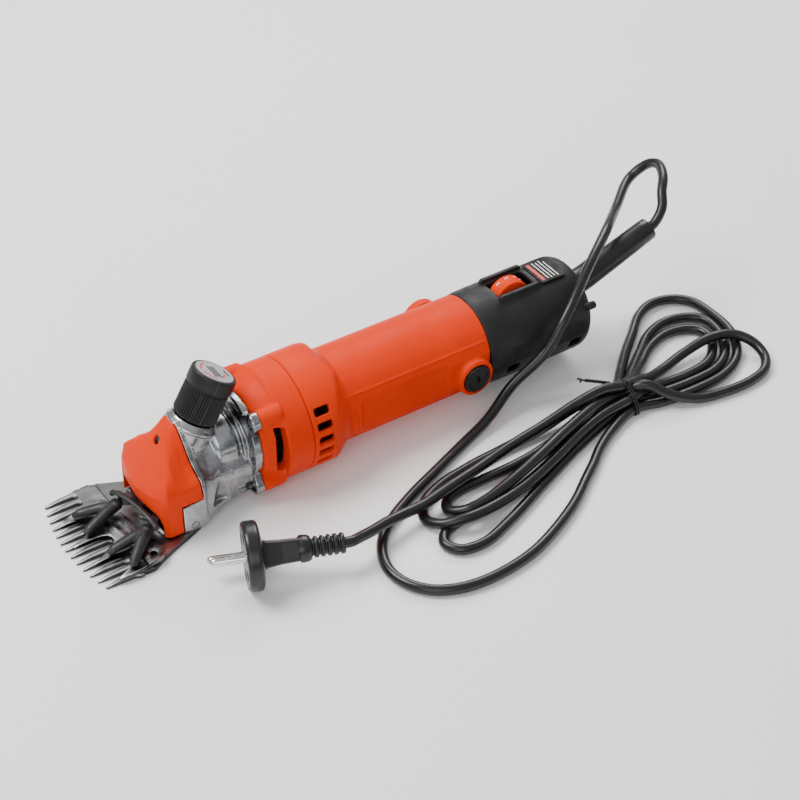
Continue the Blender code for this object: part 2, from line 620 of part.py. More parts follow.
def build_motor(steel, copper, black, brass, core, white):
    shaft_origin = (180.0, 0, 0)
    shaft = turned("armature_shaft", (0, 0, 0), X, [(113.0, 1.5), (118.8, 1.5), (118.8, 3.6), (262.0, 3.6)],
                   steel, 16, origin=shaft_origin)
    pinion = loft("pinion_tool", [gear_ring(PINION_TEETH, x, 0.0, math.pi) for x in (107.4, 114.6)], steel)
    smooth(join(shaft, pinion))

    def sleeve(name, start, length, inner, outer, mat, count=24):
        profile = [(0, inner), (0, outer), (length, outer), (length, inner)]
        smooth(turned(name, (start, 0, 0), X, profile, mat, count, loop=True))

    sleeve("armature_bearing_front", 120.0, 6.0, 3.9, 7.6, steel, 18)
    hub = [(0, 3.9), (0, 7.0), (3.0, 7.0), (3.0, 24.6), (4.6, 24.6), (10.0, 8.0), (10.0, 3.9)]
    fan = turned("cooling_fan", (134.0, 0, 0), X, hub, black, 28, loop=True)
    blades = []
    for i in range(7):
        turn = Matrix.Rotation(2 * math.pi * i / 7, 4, "X")
        blades.append(box(f"fan_blade_tool_{i}", (138.0, -0.8, 7.6), (144.0, 0.8, 24.2), black, turn=turn))
    smooth(join(fan, *blades))
    core_start = 160.0
    core_end = 204.0
    sleeve("armature_core", core_start, core_end - core_start, 7.3, 15.6, core)
    windings = [(150.3, 3.9), (150.3, 9.0), (152.8, 13.4), (core_start - GAP, 14.6), (core_start - GAP, 7.0),
                (core_end + GAP, 7.0), (core_end + GAP, 14.6), (211.2, 13.4), (213.7, 9.0), (213.7, 3.9)]
    smooth(turned("armature_windings", (0, 0, 0), X, windings, copper, 24, True, shaft_origin))
    sleeve("commutator", 233.0, 18.5, 3.9, 10.4, copper, 24)
    sleeve("armature_bearing_rear", 254.0, 6.0, 3.9, 8.0, steel, 18)
    sleeve("stator_core", core_start, core_end - core_start, 17.8, 23.8, core, 32)
    coil = [(151.0, 16.3), (151.0, 21.0), (153.0, 23.2), (core_start - GAP, 23.4), (core_start - GAP, 17.5),
            (core_end + GAP, 17.5), (core_end + GAP, 23.4), (211.0, 23.2), (213.0, 21.0), (213.0, 16.3)]
    smooth(turned("stator_windings", (0, 0, 0), X, coil, copper, 28, True))

    bridge = turned("bearing_bridge", (252.6, 0, 0), X, [(0, 23.6), (8.4, 23.6)], white, 28)
    tools = bmesh.new()
    add_turned(tools, (240.0, 0, 0), X, [(0, 8.3), (40, 8.3)], 18)
    for z in (16.5, -16.5):
        add_box(tools, (240.0, -9.0, z - 3.5), (270.0, 9.0, z + 3.5))
    smooth(cut(bridge, finish("bridge_tool", tools, white, (0, 0, 0))))


def build_brushes(brass, carbon, black):
    wall = 0.8
    half_x = 4.0
    half_z = 5.0
    inset = 0.3

    def ring(y, grow):
        x = half_x + grow
        z = half_z + grow
        return [Vector((BRUSH_X + dx * x, y, dz * z)) for dx, dz in ((-1, -1), (1, -1), (1, 1), (-1, 1))]

    for name, side in SIDES:
        low, high = side * 12.4, side * 23.2
        loft(f"brush_holder_{name}", [ring(low, 0), ring(low, wall), ring(high, wall), ring(high, 0)], brass,
             loop=True)
        loft(f"carbon_brush_{name}", [ring(side * 10.7, -inset), ring(side * 19.6, -inset)], carbon)
        cap = turned(f"brush_cap_{name}", (BRUSH_X, side * 26.2, side * BRUSH_Z), Y * side,
                     [(0, 5.0), (2.9, 5.0), (2.9, 8.8), (5.6, 8.8), (6.4, 8.0)], black, 20)
        low, high = sorted((side * 31.6, side * 34.0))
        slot = box(f"cap_slot_tool_{name}", (BRUSH_X - 4.0, low, side * BRUSH_Z - 1.1),
                   (BRUSH_X + 4.0, high, side * BRUSH_Z + 1.1), black)
        smooth(cut(cap, slot))


def build_motor_housing(orange):
    start = RING_END_X + GAP
    outside = [(start, BULGE_RADIUS), (150.6, BULGE_RADIUS), (152.4, 33.0), (GRIP_START_X, GRIP_RADIUS + 0.2),
               (GRIP_END_X, GRIP_RADIUS)]
    hollow = [(start - 1.0, 31.2), (148.0, 31.2), (157.0, 24.9), (GRIP_END_X + 1.0, 24.9)]
    housing = turned("motor_housing", (0, 0, 0), X, outside, orange, 32)
    for side in (1, -1):
        boss = turned(f"housing_boss_tool_{side}", (BRUSH_X, side * 25.2, side * BRUSH_Z), Y * side,
                      [(0, 11.4), (4.6, 11.4), (5.6, 10.6)], orange, 20)
        join(housing, boss)
    inside = turned("housing_inside_tool", (0, 0, 0), X, hollow, orange, 32)
    tools = bmesh.new()
    for side in (1, -1):
        cap_hole = [(0, 5.3), (8.8, 5.3), (8.8, 9.1), (20, 9.1)]
        add_turned(tools, (BRUSH_X, side * 20.0, side * BRUSH_Z), Y * side, cap_hole, 20)
        low, high = sorted((side * 26.5, side * 40.0))
        add_box(tools, (GRIP_START_X + 8.0, low, -11.0), (226.0, high, 10.5))
        for i in range(5):
            angle = 58.0 + 15.0 * i
            turn = Matrix.Rotation(math.radians(side * -angle), 4, "X")
            add_box(tools, (135.4, -2.3, 26.0), (144.4, 2.3, 40.0), turn)
    smooth(cut(housing, inside, finish("housing_vent_tool", tools, orange, (0, 0, 0))), 30.0)


# ---------------------------------------------------------------- rear housing and controls

def build_rear_housing(black):
    start = GRIP_END_X + GAP
    wall = 2.6
    center = (0, 0, REAR_AXIS_Z)
    outside = [(start, 27.9), (258.0, 28.4), (268.0, REAR_RADIUS), (322.0, REAR_RADIUS), (326.0, 27.6),
               (REAR_END_X, 25.6)]
    hollow = [(start - 1.0, 25.1), (266.0, REAR_RADIUS - wall), (320.5, REAR_RADIUS - wall),
              (REAR_END_X - wall, 24.0)]
    housing = turned("rear_housing", center, X, outside, black, 32)
    guards = [((271.0, 8.6, 22.0), (300.0, 11.2, 29.6)), ((271.0, -11.2, 22.0), (300.0, -8.6, 29.6))]
    for i, (low, high) in enumerate(guards):
        join(housing, box(f"dial_guard_tool_{i}", low, high, black))
    tools = bmesh.new()
    add_box(tools, (273.0, -7.4, 20.0), (298.0, 7.4, 40.0))
    add_turned(tools, (310.0, CORD_EXIT_Y, CORD_EXIT_Z), X, [(0, 6.4), (30, 6.4)], 16)
    add_box(tools, (310.0, SWITCH_LOW_Y, SWITCH_LOW_Z), (340.0, SWITCH_HIGH_Y, SWITCH_HIGH_Z))
    for x in (270.6, 315.6):
        for side in (1, -1):
            low, high = sorted((side * 20.0, side * 40.0))
            add_box(tools, (x - 5.0, low, -12.0), (x + 5.0, high, -8.0))
    add_box(tools, (301.2, -11.0, 27.0), (319.4, 11.0, 40.0))
    inner = turned("rear_inside_tool", center, X, hollow, black, 32)
    cut(housing, inner, finish("rear_slot_tool", tools, black, (0, 0, 0)))
    smooth(housing, 30.0)


def build_controls(black, orange, board, label, steel):
    dial = turned("speed_dial", DIAL_CENTER - Y * 4.5, Y, [(0, 1.9), (0, 11.6), (0.8, 12.4), (8.2, 12.4),
                                                         (9.0, 11.6), (9.0, 1.9)], orange, 30, loop=True,
                  origin=DIAL_CENTER)
    smooth(dial)
    speed = box("speed_board", (266.0, -19.0, 1.0), (306.0, 19.0, 2.6), board)
    post = turned("dial_axle_tool", DIAL_CENTER - Y * 7.5, Y, [(0, 1.6), (15.0, 1.6)], board, 10)
    brackets = boxes("dial_bracket_tool", [((280.0, -8.4, 2.0), (286.0, -6.6, 21.0)),
                                           ((280.0, 6.6, 2.0), (286.0, 8.4, 21.0))], board)
    join(speed, brackets, post)
    switch = box("switch_body", (308.0, SWITCH_LOW_Y + GAP, SWITCH_LOW_Z + GAP),
                 (329.0, SWITCH_HIGH_Y - GAP, SWITCH_HIGH_Z - GAP), black)
    pocket = box("switch_pocket_tool", (321.0, SWITCH_LOW_Y + 1.6, SWITCH_LOW_Z + 1.0),
                 (340.0, SWITCH_HIGH_Y - 1.6, SWITCH_HIGH_Z - 1.0), black)
    cut(switch, pocket)
    middle_z = (SWITCH_LOW_Z + SWITCH_HIGH_Z) / 2
    half = (SWITCH_HIGH_Z - SWITCH_LOW_Z) / 2 - 2.2
    rocker = [(323.0, 0.0), (325.0, -2.6), (328.2, -half), (331.6, -half), (329.4, 0.0), (329.0, half),
              (326.0, half), (324.4, 2.6)]
    y_low, y_high = SWITCH_LOW_Y + 2.0, SWITCH_HIGH_Y - 2.0
    rings = [[Vector((x, y, middle_z + z)) for x, z in rocker] for y in (y_low, y_high)]
    bm = bmesh.new()
    add_rings(bm, rings)
    finish("switch_rocker", bm, black, (327.0, (y_low + y_high) / 2, middle_z))

    box("rating_plate", (301.6, -10.6, 27.0 + GAP), (319.0, 10.6, 27.9), label)
    box("cord_clamp", (303.0, -5.0, 9.8), (311.0, 11.0, 12.4), steel)


def build_cord_guard(rubber):
    """A rubber sleeve that carries the cord up and away from the rear wall."""
    straight = [(-6.0, 9.0), (-0.4, 9.0), (-0.4, 5.9), (3.4, 5.9), (3.4, 9.2), (6.0, 9.2), (8.0, 7.4)]
    rings = []
    count = 16
    for along, radius in straight:
        rings.append(circle(GUARD_START + X * along, X, radius, count))
    bend = 4
    for i in range(1, bend + 1):
        share = i / bend
        axis = X.lerp(GUARD_AXIS, share).normalized()
        center = GUARD_START + X * 8.0 + X * (8.0 * share) + Z * (1.4 * share * share)
        rings.append(circle(center, axis, 7.3 - 0.2 * share, count))
    last = GUARD_START + X * 16.0 + Z * 1.4
    rings.append(circle(last + GUARD_AXIS * (GUARD_LENGTH - 18.0), GUARD_AXIS, 6.2, count))
    rings.append(circle(last + GUARD_AXIS * (GUARD_LENGTH - 17.0), GUARD_AXIS, 5.6, count))
    smooth(loft("cord_guard", rings, rubber))
    return last + GUARD_AXIS * (GUARD_LENGTH - 17.0)


# ---------------------------------------------------------------- cord, hank, tie and plug

def spline_through(points, spacing):
    """Evenly spaced points along a smooth curve that passes the chosen points (centripetal form)."""
    points = [Vector(p) for p in points]
    padded = [points[0] * 2 - points[1]] + points + [points[-1] * 2 - points[-2]]
    fine = []
    for p0, p1, p2, p3 in zip(padded, padded[1:], padded[2:], padded[3:]):
        knots = [0.0]
        for a, b in ((p0, p1), (p1, p2), (p2, p3)):
            knots.append(knots[-1] + max((b - a).length, 1e-6) ** 0.5)
        for i in range(24):
            t = knots[1] + (knots[2] - knots[1]) * i / 24
            a1 = p0.lerp(p1, (t - knots[0]) / (knots[1] - knots[0]))
            a2 = p1.lerp(p2, (t - knots[1]) / (knots[2] - knots[1]))
            a3 = p2.lerp(p3, (t - knots[2]) / (knots[3] - knots[2]))
            b1 = a1.lerp(a2, (t - knots[0]) / (knots[2] - knots[0]))
            b2 = a2.lerp(a3, (t - knots[1]) / (knots[3] - knots[1]))
            fine.append(b1.lerp(b2, (t - knots[1]) / (knots[2] - knots[1])))
    fine.append(points[-1])
    total = sum((b - a).length for a, b in zip(fine, fine[1:]))
    count = max(int(round(total / spacing)), 2)
    step = total / count
    chosen = [fine[0]]
    walked = 0.0
    for a, b in zip(fine, fine[1:]):
        length = (b - a).length
        while len(chosen) < count and walked + length >= step * len(chosen):
            share = (step * len(chosen) - walked) / max(length, 1e-9)
            chosen.append(a.lerp(b, share))
        walked += length
    chosen.append(fine[-1])
    return chosen


def cord_tube(name, points, rubber, spacing=15.0):
    """A plain tube whose first and last stretches are straight, so that its ends meet what they face."""
    route = [Vector(points[0])] + spline_through(points[1:-1], spacing) + [Vector(points[-1])]
    curve = bpy.data.curves.new(name, "CURVE")
    curve.dimensions = "3D"
    curve.bevel_depth = CORD_RADIUS * MM
    curve.bevel_resolution = 2
    curve.render_resolution_u = 0
    curve.use_fill_caps = True
    spline = curve.splines.new("POLY")
    spline.points.add(len(route) - 1)
    for point, place in zip(spline.points, route):
        point.co = (*to_world(place), 1.0)
    curve.materials.append(rubber)
    obj = bpy.data.objects.new(name, curve)
    bpy.context.scene.collection.objects.link(obj)
    return obj


def hank_outline():
    corners = [(168.0, -86.0), (172.0, -76.0), (186.0, -69.5), (225.0, -64.0), (270.0, -60.5), (300.0, -58.5),
               (TIE_X, -54.0), (341.0, -42.0), (362.0, -20.0), (384.0, -6.0), (403.0, -2.0), (417.0, -8.0),
               (421.0, -24.0), (414.0, -48.0), (420.0, -68.0), (424.0, -83.0), (417.0, -92.0), (398.0, -96.0),
               (360.0, -93.5), (TIE_X, -81.0), (300.0, -87.0), (262.0, -97.0), (220.0, -109.0),
               (188.0, -118.0), (172.0, -117.0), (166.5, -106.0)]
    loop = spline_through([(x, y, 0) for x, y in corners + corners[:1]], 11.0)
    return [(p.x, p.y) for p in loop[:-1]]


LEAD_ROUTE = [(399.0, 4.0, 31.5), (408.0, 12.0, 35.5), (418.0, 24.0, 38.0),
              (425.0, 38.0, 38.5), (421.0, 46.0, 38.5), (406.6, 41.0, 38.0), (379.5, 21.0, 37.0),
              (353.0, 2.0, 36.5), (323.0, -18.6, 30.5), (299.6, -32.4, 17.6), (283.4, -35.4, 0.0),
              (264.6, -34.0, -16.5), (243.5, -40.5, -27.0), (219.8, -48.0, CORD_Z), (195.2, -58.0, CORD_Z),
              (172.0, -67.6, CORD_Z), (153.0, -77.6, CORD_Z), (142.2, -86.0, CORD_Z), (133.8, -97.5, CORD_Z),
              (130.0, -110.0, CORD_Z), (132.0, -122.5, CORD_Z), (140.0, -134.0, CORD_Z),
              (152.0, -141.0, CORD_Z), (165.8, -144.0, CORD_Z), (182.4, -144.0, CORD_Z),
              (201.0, -141.0, CORD_Z), (218.0, -135.0, CORD_Z), (243.0, -122.5, CORD_Z),
              (262.5, -109.0, CORD_Z), (272.0, -103.0, CORD_Z), (277.0, -97.6, CORD_Z), (276.1, -93.9, CORD_Z)]
TAIL_ROUTE = [(167.6, -84.0, CORD_Z + 7.0), (162.4, -84.0, CORD_Z + 7.0), (153.5, -84.5, -23.2),
              (143.0, -86.5, -21.5), (132.7, -89.8, -19.3), (123.5, -92.4, -17.0)]


def build_cord(rubber, wire):
    guard_end = build_cord_guard(rubber)
    first = guard_end + GUARD_AXIS * GAP
    cord_tube("cord_lead", [first, first + GUARD_AXIS * 6.0] + LEAD_ROUTE, rubber)
    low = FLOOR_Z + HANK_CLEAR
    smooth(prism("cord_hank", hank_outline(), low, low + HANK_HEIGHT, rubber), 45.0)
    cord_tube("cord_tail", TAIL_ROUTE + [PLUG_REAR - PLUG_AXIS * (3.0 + GAP), PLUG_REAR - PLUG_AXIS * GAP],
              rubber, spacing=9.0)

    wire_radius = 0.7
    reach = wire_radius + GAP
    high_y = -54.0 + 3.0
    low_y = -81.0 - 3.0
    top = low + HANK_HEIGHT + reach
    bottom = low - reach
    loop = [(TIE_X, high_y + reach, top - 3), (TIE_X, high_y + reach - 3, top), (TIE_X, low_y + 3, top),
            (TIE_X, low_y, top - 3), (TIE_X, low_y, bottom + 3), (TIE_X, low_y + 3, bottom),
            (TIE_X, high_y + reach - 3, bottom), (TIE_X, high_y + reach, bottom + 3)]
    rings = []
    points = [Vector(p) for p in loop]
    for i, point in enumerate(points):
        axis = (points[(i + 1) % len(points)] - points[i - 1]).normalized()
        outward = axis.cross(X)
        rings.append([point + X * (wire_radius * math.cos(a)) + outward * (wire_radius * math.sin(a))
                      for a in (math.radians(60 * k) for k in range(6))])
    tie = loft("cord_tie", rings, wire, loop=True)
    ends = loft("tie_end_tool", limb([(Vector((TIE_X, high_y + 0.4, top - 3.0)), 0.9),
                                      (Vector((TIE_X - 4.0, high_y + 6.0, top + 2.0)), 1.1),
                                      (Vector((TIE_X - 15.0, high_y + 15.0, top + 1.0)), 0.9)], 6), wire)
    smooth(join(tie, ends))


def build_plug(rubber, metal):
    profile = []
    for i in range(4):
        start = i * 4.4
        profile += [(start, 5.5), (start + 2.8, 5.5), (start + 2.9, 4.3), (start + 4.3, 4.3)]
    profile += [(18.2, 6.6), (21.4, 7.2), (24.0, 7.4), (24.6, 6.4), (43.6, 8.4), (44.6, 17.4), (46.0, 18.9),
                (51.6, 18.9), (53.2, 17.6)]
    plug = turned("plug_body", PLUG_REAR, PLUG_AXIS, profile, rubber, 20)
    back = Vector((-0.427, -0.645, 0.634))
    pin_line = (back - PLUG_AXIS * back.dot(PLUG_AXIS)).normalized()
    cross_line = PLUG_AXIS.cross(pin_line)
    bores = bmesh.new()
    for name, side in SIDES:
        base = PLUG_REAR + PLUG_AXIS * 45.0 + pin_line * (side * PIN_PITCH / 2)
        add_turned(bores, base, PLUG_AXIS, [(0, 2.7), (20, 2.7)], 12)
        pin = [(0, 2.4), (26.0, 2.4), (27.2, 1.4)]
        smooth(turned(f"plug_pin_{name}", base + PLUG_AXIS * GAP, PLUG_AXIS, pin, metal, 12))
        notch = PLUG_REAR + PLUG_AXIS * 50.0 + cross_line * (side * 18.6)
        add_turned(bores, notch, PLUG_AXIS, [(0, 2.6), (8, 2.6)], 10)
    smooth(cut(plug, finish("plug_bore_tool", bores, rubber, (0, 0, 0))))


# ---------------------------------------------------------------- the whole tool

def main():
    clear_scene()
    orange = material("orange_plastic", (0.80, 0.075, 0.012), 0.42)
    black = material("black_plastic", (0.022, 0.022, 0.024), 0.5)
    rubber = material("black_rubber", (0.018, 0.018, 0.02), 0.45)
    aluminium = material("cast_aluminium", (0.55, 0.56, 0.58), 0.22, 1.0)
    steel = material("ground_steel", (0.58, 0.58, 0.6), 0.25, 1.0)
    bright = material("bright_steel", (0.62, 0.62, 0.62), 0.18, 1.0)
    brass = material("brass", (0.62, 0.42, 0.14), 0.3, 1.0)
    copper = material("copper", (0.72, 0.3, 0.13), 0.35, 1.0)
    core = material("core_steel", (0.25, 0.25, 0.27), 0.5, 1.0)
    carbon = material("carbon", (0.03, 0.03, 0.03), 0.7)
    grey = material("grey_plate", (0.42, 0.42, 0.43), 0.4)
    label = material("label_plate", (0.01, 0.01, 0.01), 0.35)
    board = material("circuit_board", (0.02, 0.16, 0.06), 0.5)
    white = material("motor_plastic", (0.06, 0.06, 0.065), 0.55)

    swing = turn_about((PIVOT_X, 0, 0), FORK_SWING)
    build_comb(steel)
    build_cutter(steel, swing)
    build_fork(steel, black, swing)
    build_fork_post(steel)
    build_cover(orange, steel)
    build_head(aluminium, steel)
    build_tension(steel, black, grey)
    build_crank(steel, brass)
    build_gear_plate(aluminium)
    build_front_ring(orange)
    build_motor(steel, copper, black, brass, core, white)
    build_brushes(brass, carbon, black)
    build_motor_housing(orange)
    build_rear_housing(black)
    build_controls(black, orange, board, label, steel)
    build_cord(rubber, steel)
    build_plug(rubber, bright)


main()
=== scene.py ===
import json
import math

import bmesh
import bpy
from mathutils import Matrix, Vector

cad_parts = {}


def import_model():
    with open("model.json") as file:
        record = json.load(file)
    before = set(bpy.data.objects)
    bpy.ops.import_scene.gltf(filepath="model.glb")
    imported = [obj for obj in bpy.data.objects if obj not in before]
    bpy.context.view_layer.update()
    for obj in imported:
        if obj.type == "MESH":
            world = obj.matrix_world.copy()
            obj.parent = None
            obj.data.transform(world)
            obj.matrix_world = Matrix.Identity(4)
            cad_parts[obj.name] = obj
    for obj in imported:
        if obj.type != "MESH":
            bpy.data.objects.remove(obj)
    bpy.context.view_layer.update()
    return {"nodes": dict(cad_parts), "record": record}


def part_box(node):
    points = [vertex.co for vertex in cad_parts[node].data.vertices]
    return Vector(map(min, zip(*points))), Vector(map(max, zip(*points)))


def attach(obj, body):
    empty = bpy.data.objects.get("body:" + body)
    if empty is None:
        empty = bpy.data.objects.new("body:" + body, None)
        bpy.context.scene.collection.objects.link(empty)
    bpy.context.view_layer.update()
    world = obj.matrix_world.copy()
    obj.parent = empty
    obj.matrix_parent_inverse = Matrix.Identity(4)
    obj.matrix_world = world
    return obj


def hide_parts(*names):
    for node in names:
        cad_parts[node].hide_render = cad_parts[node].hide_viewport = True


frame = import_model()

for name in ("Cube", "Light", "Camera"):
    if bpy.data.objects.get(name):
        bpy.data.objects.remove(bpy.data.objects[name])

# Shapes are drawn in millimetres in the shears' own frame: X from the comb's outer tips towards the
# cord, Y across, Z up from the motor axis. The frame's own boxes say where that frame stands.
MM = 0.001
COMB_BOW = 5.6                   # how far the comb's middle teeth reach past its outer tips
FRAME_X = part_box("comb")[0].x + COMB_BOW * MM
FRAME_Z = (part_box("armature_core")[0].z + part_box("armature_core")[1].z) / 2
FLOOR_Z = -FRAME_Z / MM
PIVOT_X = 70.0
CRANK_Z = -13.2
KNOB_BASE = Vector((76.6, 0.0, 22.7))
KNOB_TILT = math.radians(31.5)
KNOB_AXIS = Vector((math.sin(KNOB_TILT), 0.0, math.cos(KNOB_TILT)))
BRUSH_X, BRUSH_Z = 242.2, 3.7     # the left brush sits that far up, the right one as far down
CORD_RADIUS = 3.1
CORD_Z = FLOOR_Z + CORD_RADIUS + 0.2
X, Y, Z = Vector((1, 0, 0)), Vector((0, 1, 0)), Vector((0, 0, 1))
SIDES = (("left", 1), ("right", -1))


def world(p):
    return Vector((FRAME_X + p[0] * MM, p[1] * MM, FRAME_Z + p[2] * MM))


# ---- camera

def build_camera():
    data = bpy.data.cameras.new("camera")
    data.sensor_width = 36.0
    data.lens = 87.3
    data.clip_start = 0.01
    cam = place("camera", data)
    cam.location = world((-271.0, -727.1, 688.3))
    cam.rotation_euler = (math.radians(50.68), 0.0, math.radians(-33.46))
    bpy.context.scene.camera = cam


# ---- shapes

def place(name, data):
    obj = bpy.data.objects.new(name, data)
    bpy.context.scene.collection.objects.link(obj)
    return obj


def add_rings(bm, rings, loop=False):
    rows = [[bm.verts.new(p) for p in ring] for ring in rings]
    pairs = list(zip(rows, rows[1:])) + ([(rows[-1], rows[0])] if loop else [])
    count = len(rows[0])
    for low, high in pairs:
        for i in range(count):
            j = (i + 1) % count
            bm.faces.new((low[i], low[j], high[j], high[i]))
    if not loop:
        bm.faces.new(list(reversed(rows[0])))
        bm.faces.new(rows[-1])


def solid(*builders):
    """An object in shears millimetres; each builder adds closed shells to its mesh."""
    bm = bmesh.new()
    for build in builders:
        build(bm)
    bmesh.ops.recalc_face_normals(bm, faces=bm.faces)
    mesh = bpy.data.meshes.new("work")
    bm.to_mesh(mesh)
    bm.free()
    return place("work", mesh)


def rings(points, loop=False):
    return lambda bm: add_rings(bm, points, loop)


def basis(axis):
    axis = Vector(axis).normalized()
    side = (Z if abs(axis.z) < 0.9 else Y).cross(axis).normalized()
    return side, axis.cross(side)


def circle(center, axis, radius, count, phase=0.0):
    side, up = basis(axis)
    turns = [phase + 2 * math.pi * i / count for i in range(count)]
    return [Vector(center) + side * (radius * math.cos(a)) + up * (radius * math.sin(a)) for a in turns]


def turned(start, axis, profile, count=48, loop=False):
    """A turned shape: the profile lists (distance along the axis, radius)."""
    axis = Vector(axis).normalized()
    return rings([circle(Vector(start) + axis * s, axis, r, count) for s, r in profile], loop)


def block(low, high, turn=None):
    corners = [(low[0], low[1]), (high[0], low[1]), (high[0], high[1]), (low[0], high[1])]
    points = [[Vector((x, y, z)) for x, y in corners] for z in (low[2], high[2])]
    if turn is not None:
        points = [[turn @ p for p in ring] for ring in points]
    return rings(points)


def beside(side, low, high, turn=None):
    """A block on one side of the middle, with its y counted outwards."""
    near, far = sorted((side * low[1], side * high[1]))
    return block((low[0], near, low[2]), (high[0], far, high[2]), turn)


def slab(outline, low, high, plane="xy", turn=None):
    """A flat outline pushed through from low to high along the third axis."""
    order = {"xy": lambda a, b, c: (a, b, c), "xz": lambda a, b, c: (a, c, b),
             "yz": lambda a, b, c: (c, a, b)}
    points = [[Vector(order[plane](a, b, c)) for a, b in outline] for c in (low, high)]
    if turn is not None:
        points = [[turn @ p for p in ring] for ring in points]
    return rings(points)


def pressed(side, outline, near, far):
    """An outline seen from the side, pushed outwards from near to far."""
    return slab(outline, *sorted((side * near, side * far)), "xz")


def arc(center, radius, start, end, count):
    steps = [math.radians(start + (end - start) * i / (count - 1)) for i in range(count)]
    return [(center[0] + radius * math.cos(a), center[1] + radius * math.sin(a)) for a in steps]


def tablet(length, width, radius, count=5):
    """Outline of a rectangle with rounded corners, centred on zero."""
    x, y = length / 2 - radius, width / 2 - radius
    return (arc((x, y), radius, 0, 90, count) + arc((-x, y), radius, 90, 180, count) +
            arc((-x, -y), radius, 180, 270, count) + arc((x, -y), radius, 270, 360, count))


def turn_about(point, angle, axis="Z"):
    spin = Matrix.Rotation(math.radians(angle), 4, axis)
    return Matrix.Translation(point) @ spin @ Matrix.Translation(-Vector(point))


def bake(obj):
    """Apply the object's modifiers."""
    bpy.context.view_layer.update()
    shown = obj.evaluated_get(bpy.context.evaluated_depsgraph_get())
    mesh = bpy.data.meshes.new_from_object(shown)
    obj.modifiers.clear()
    obj.data = mesh
    return obj


def combine(target, operation, *tools):
    for tool in tools:
        mod = target.modifiers.new("b", "BOOLEAN")
        mod.operation = operation
        mod.solver = "EXACT"
        mod.use_self = True
        mod.object = tool
    bake(target)
    for tool in tools:
        bpy.data.objects.remove(tool)
    return target


def cut(target, *builders):
    return combine(target, "DIFFERENCE", solid(*builders))


def join(target, *tools):
    return combine(target, "UNION", *tools)


def melt(obj, voxel=0.5, rounds=6):
    """Round every edge a little, as on a moulded or cast piece."""
    mod = obj.modifiers.new("r", "REMESH")
    mod.mode = "VOXEL"
    mod.voxel_size = voxel
    mod = obj.modifiers.new("s", "SMOOTH")
    mod.factor = 0.5
    mod.iterations = rounds
    return bake(obj)


def soften(obj, width=0.4, angle=30.0, segments=2):
    mod = obj.modifiers.new("v", "BEVEL")
    mod.width = width
    mod.segments = segments
    mod.limit_method = "ANGLE"
    mod.angle_limit = math.radians(angle)
    mod.use_clamp_overlap = True
    return bake(obj)


def claim(obj, body, nodes):
    """Hang a piece on its body's empty, and hide the CAD nodes it stands for."""
    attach(obj, body)
    if nodes:
        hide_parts(*nodes)
    return obj


def publish(obj, name, slot, nodes=(), sharp=35.0, body="tool", look=None):
    """Put a finished shape in the frame's metres, as a piece on a body."""
    mesh = obj.data
    mesh.transform(Matrix.Translation((FRAME_X, 0, FRAME_Z)) @ Matrix.Scale(MM, 4))
    mesh.materials.clear()
    mesh.materials.append(PAINTS[look or SLOT_PAINT[slot]])
    mesh.shade_smooth()
    if sharp < 180:
        mesh.set_sharp_from_angle(angle=math.radians(sharp))
    obj.name = name
    return claim(obj, body, nodes)


# ---- materials

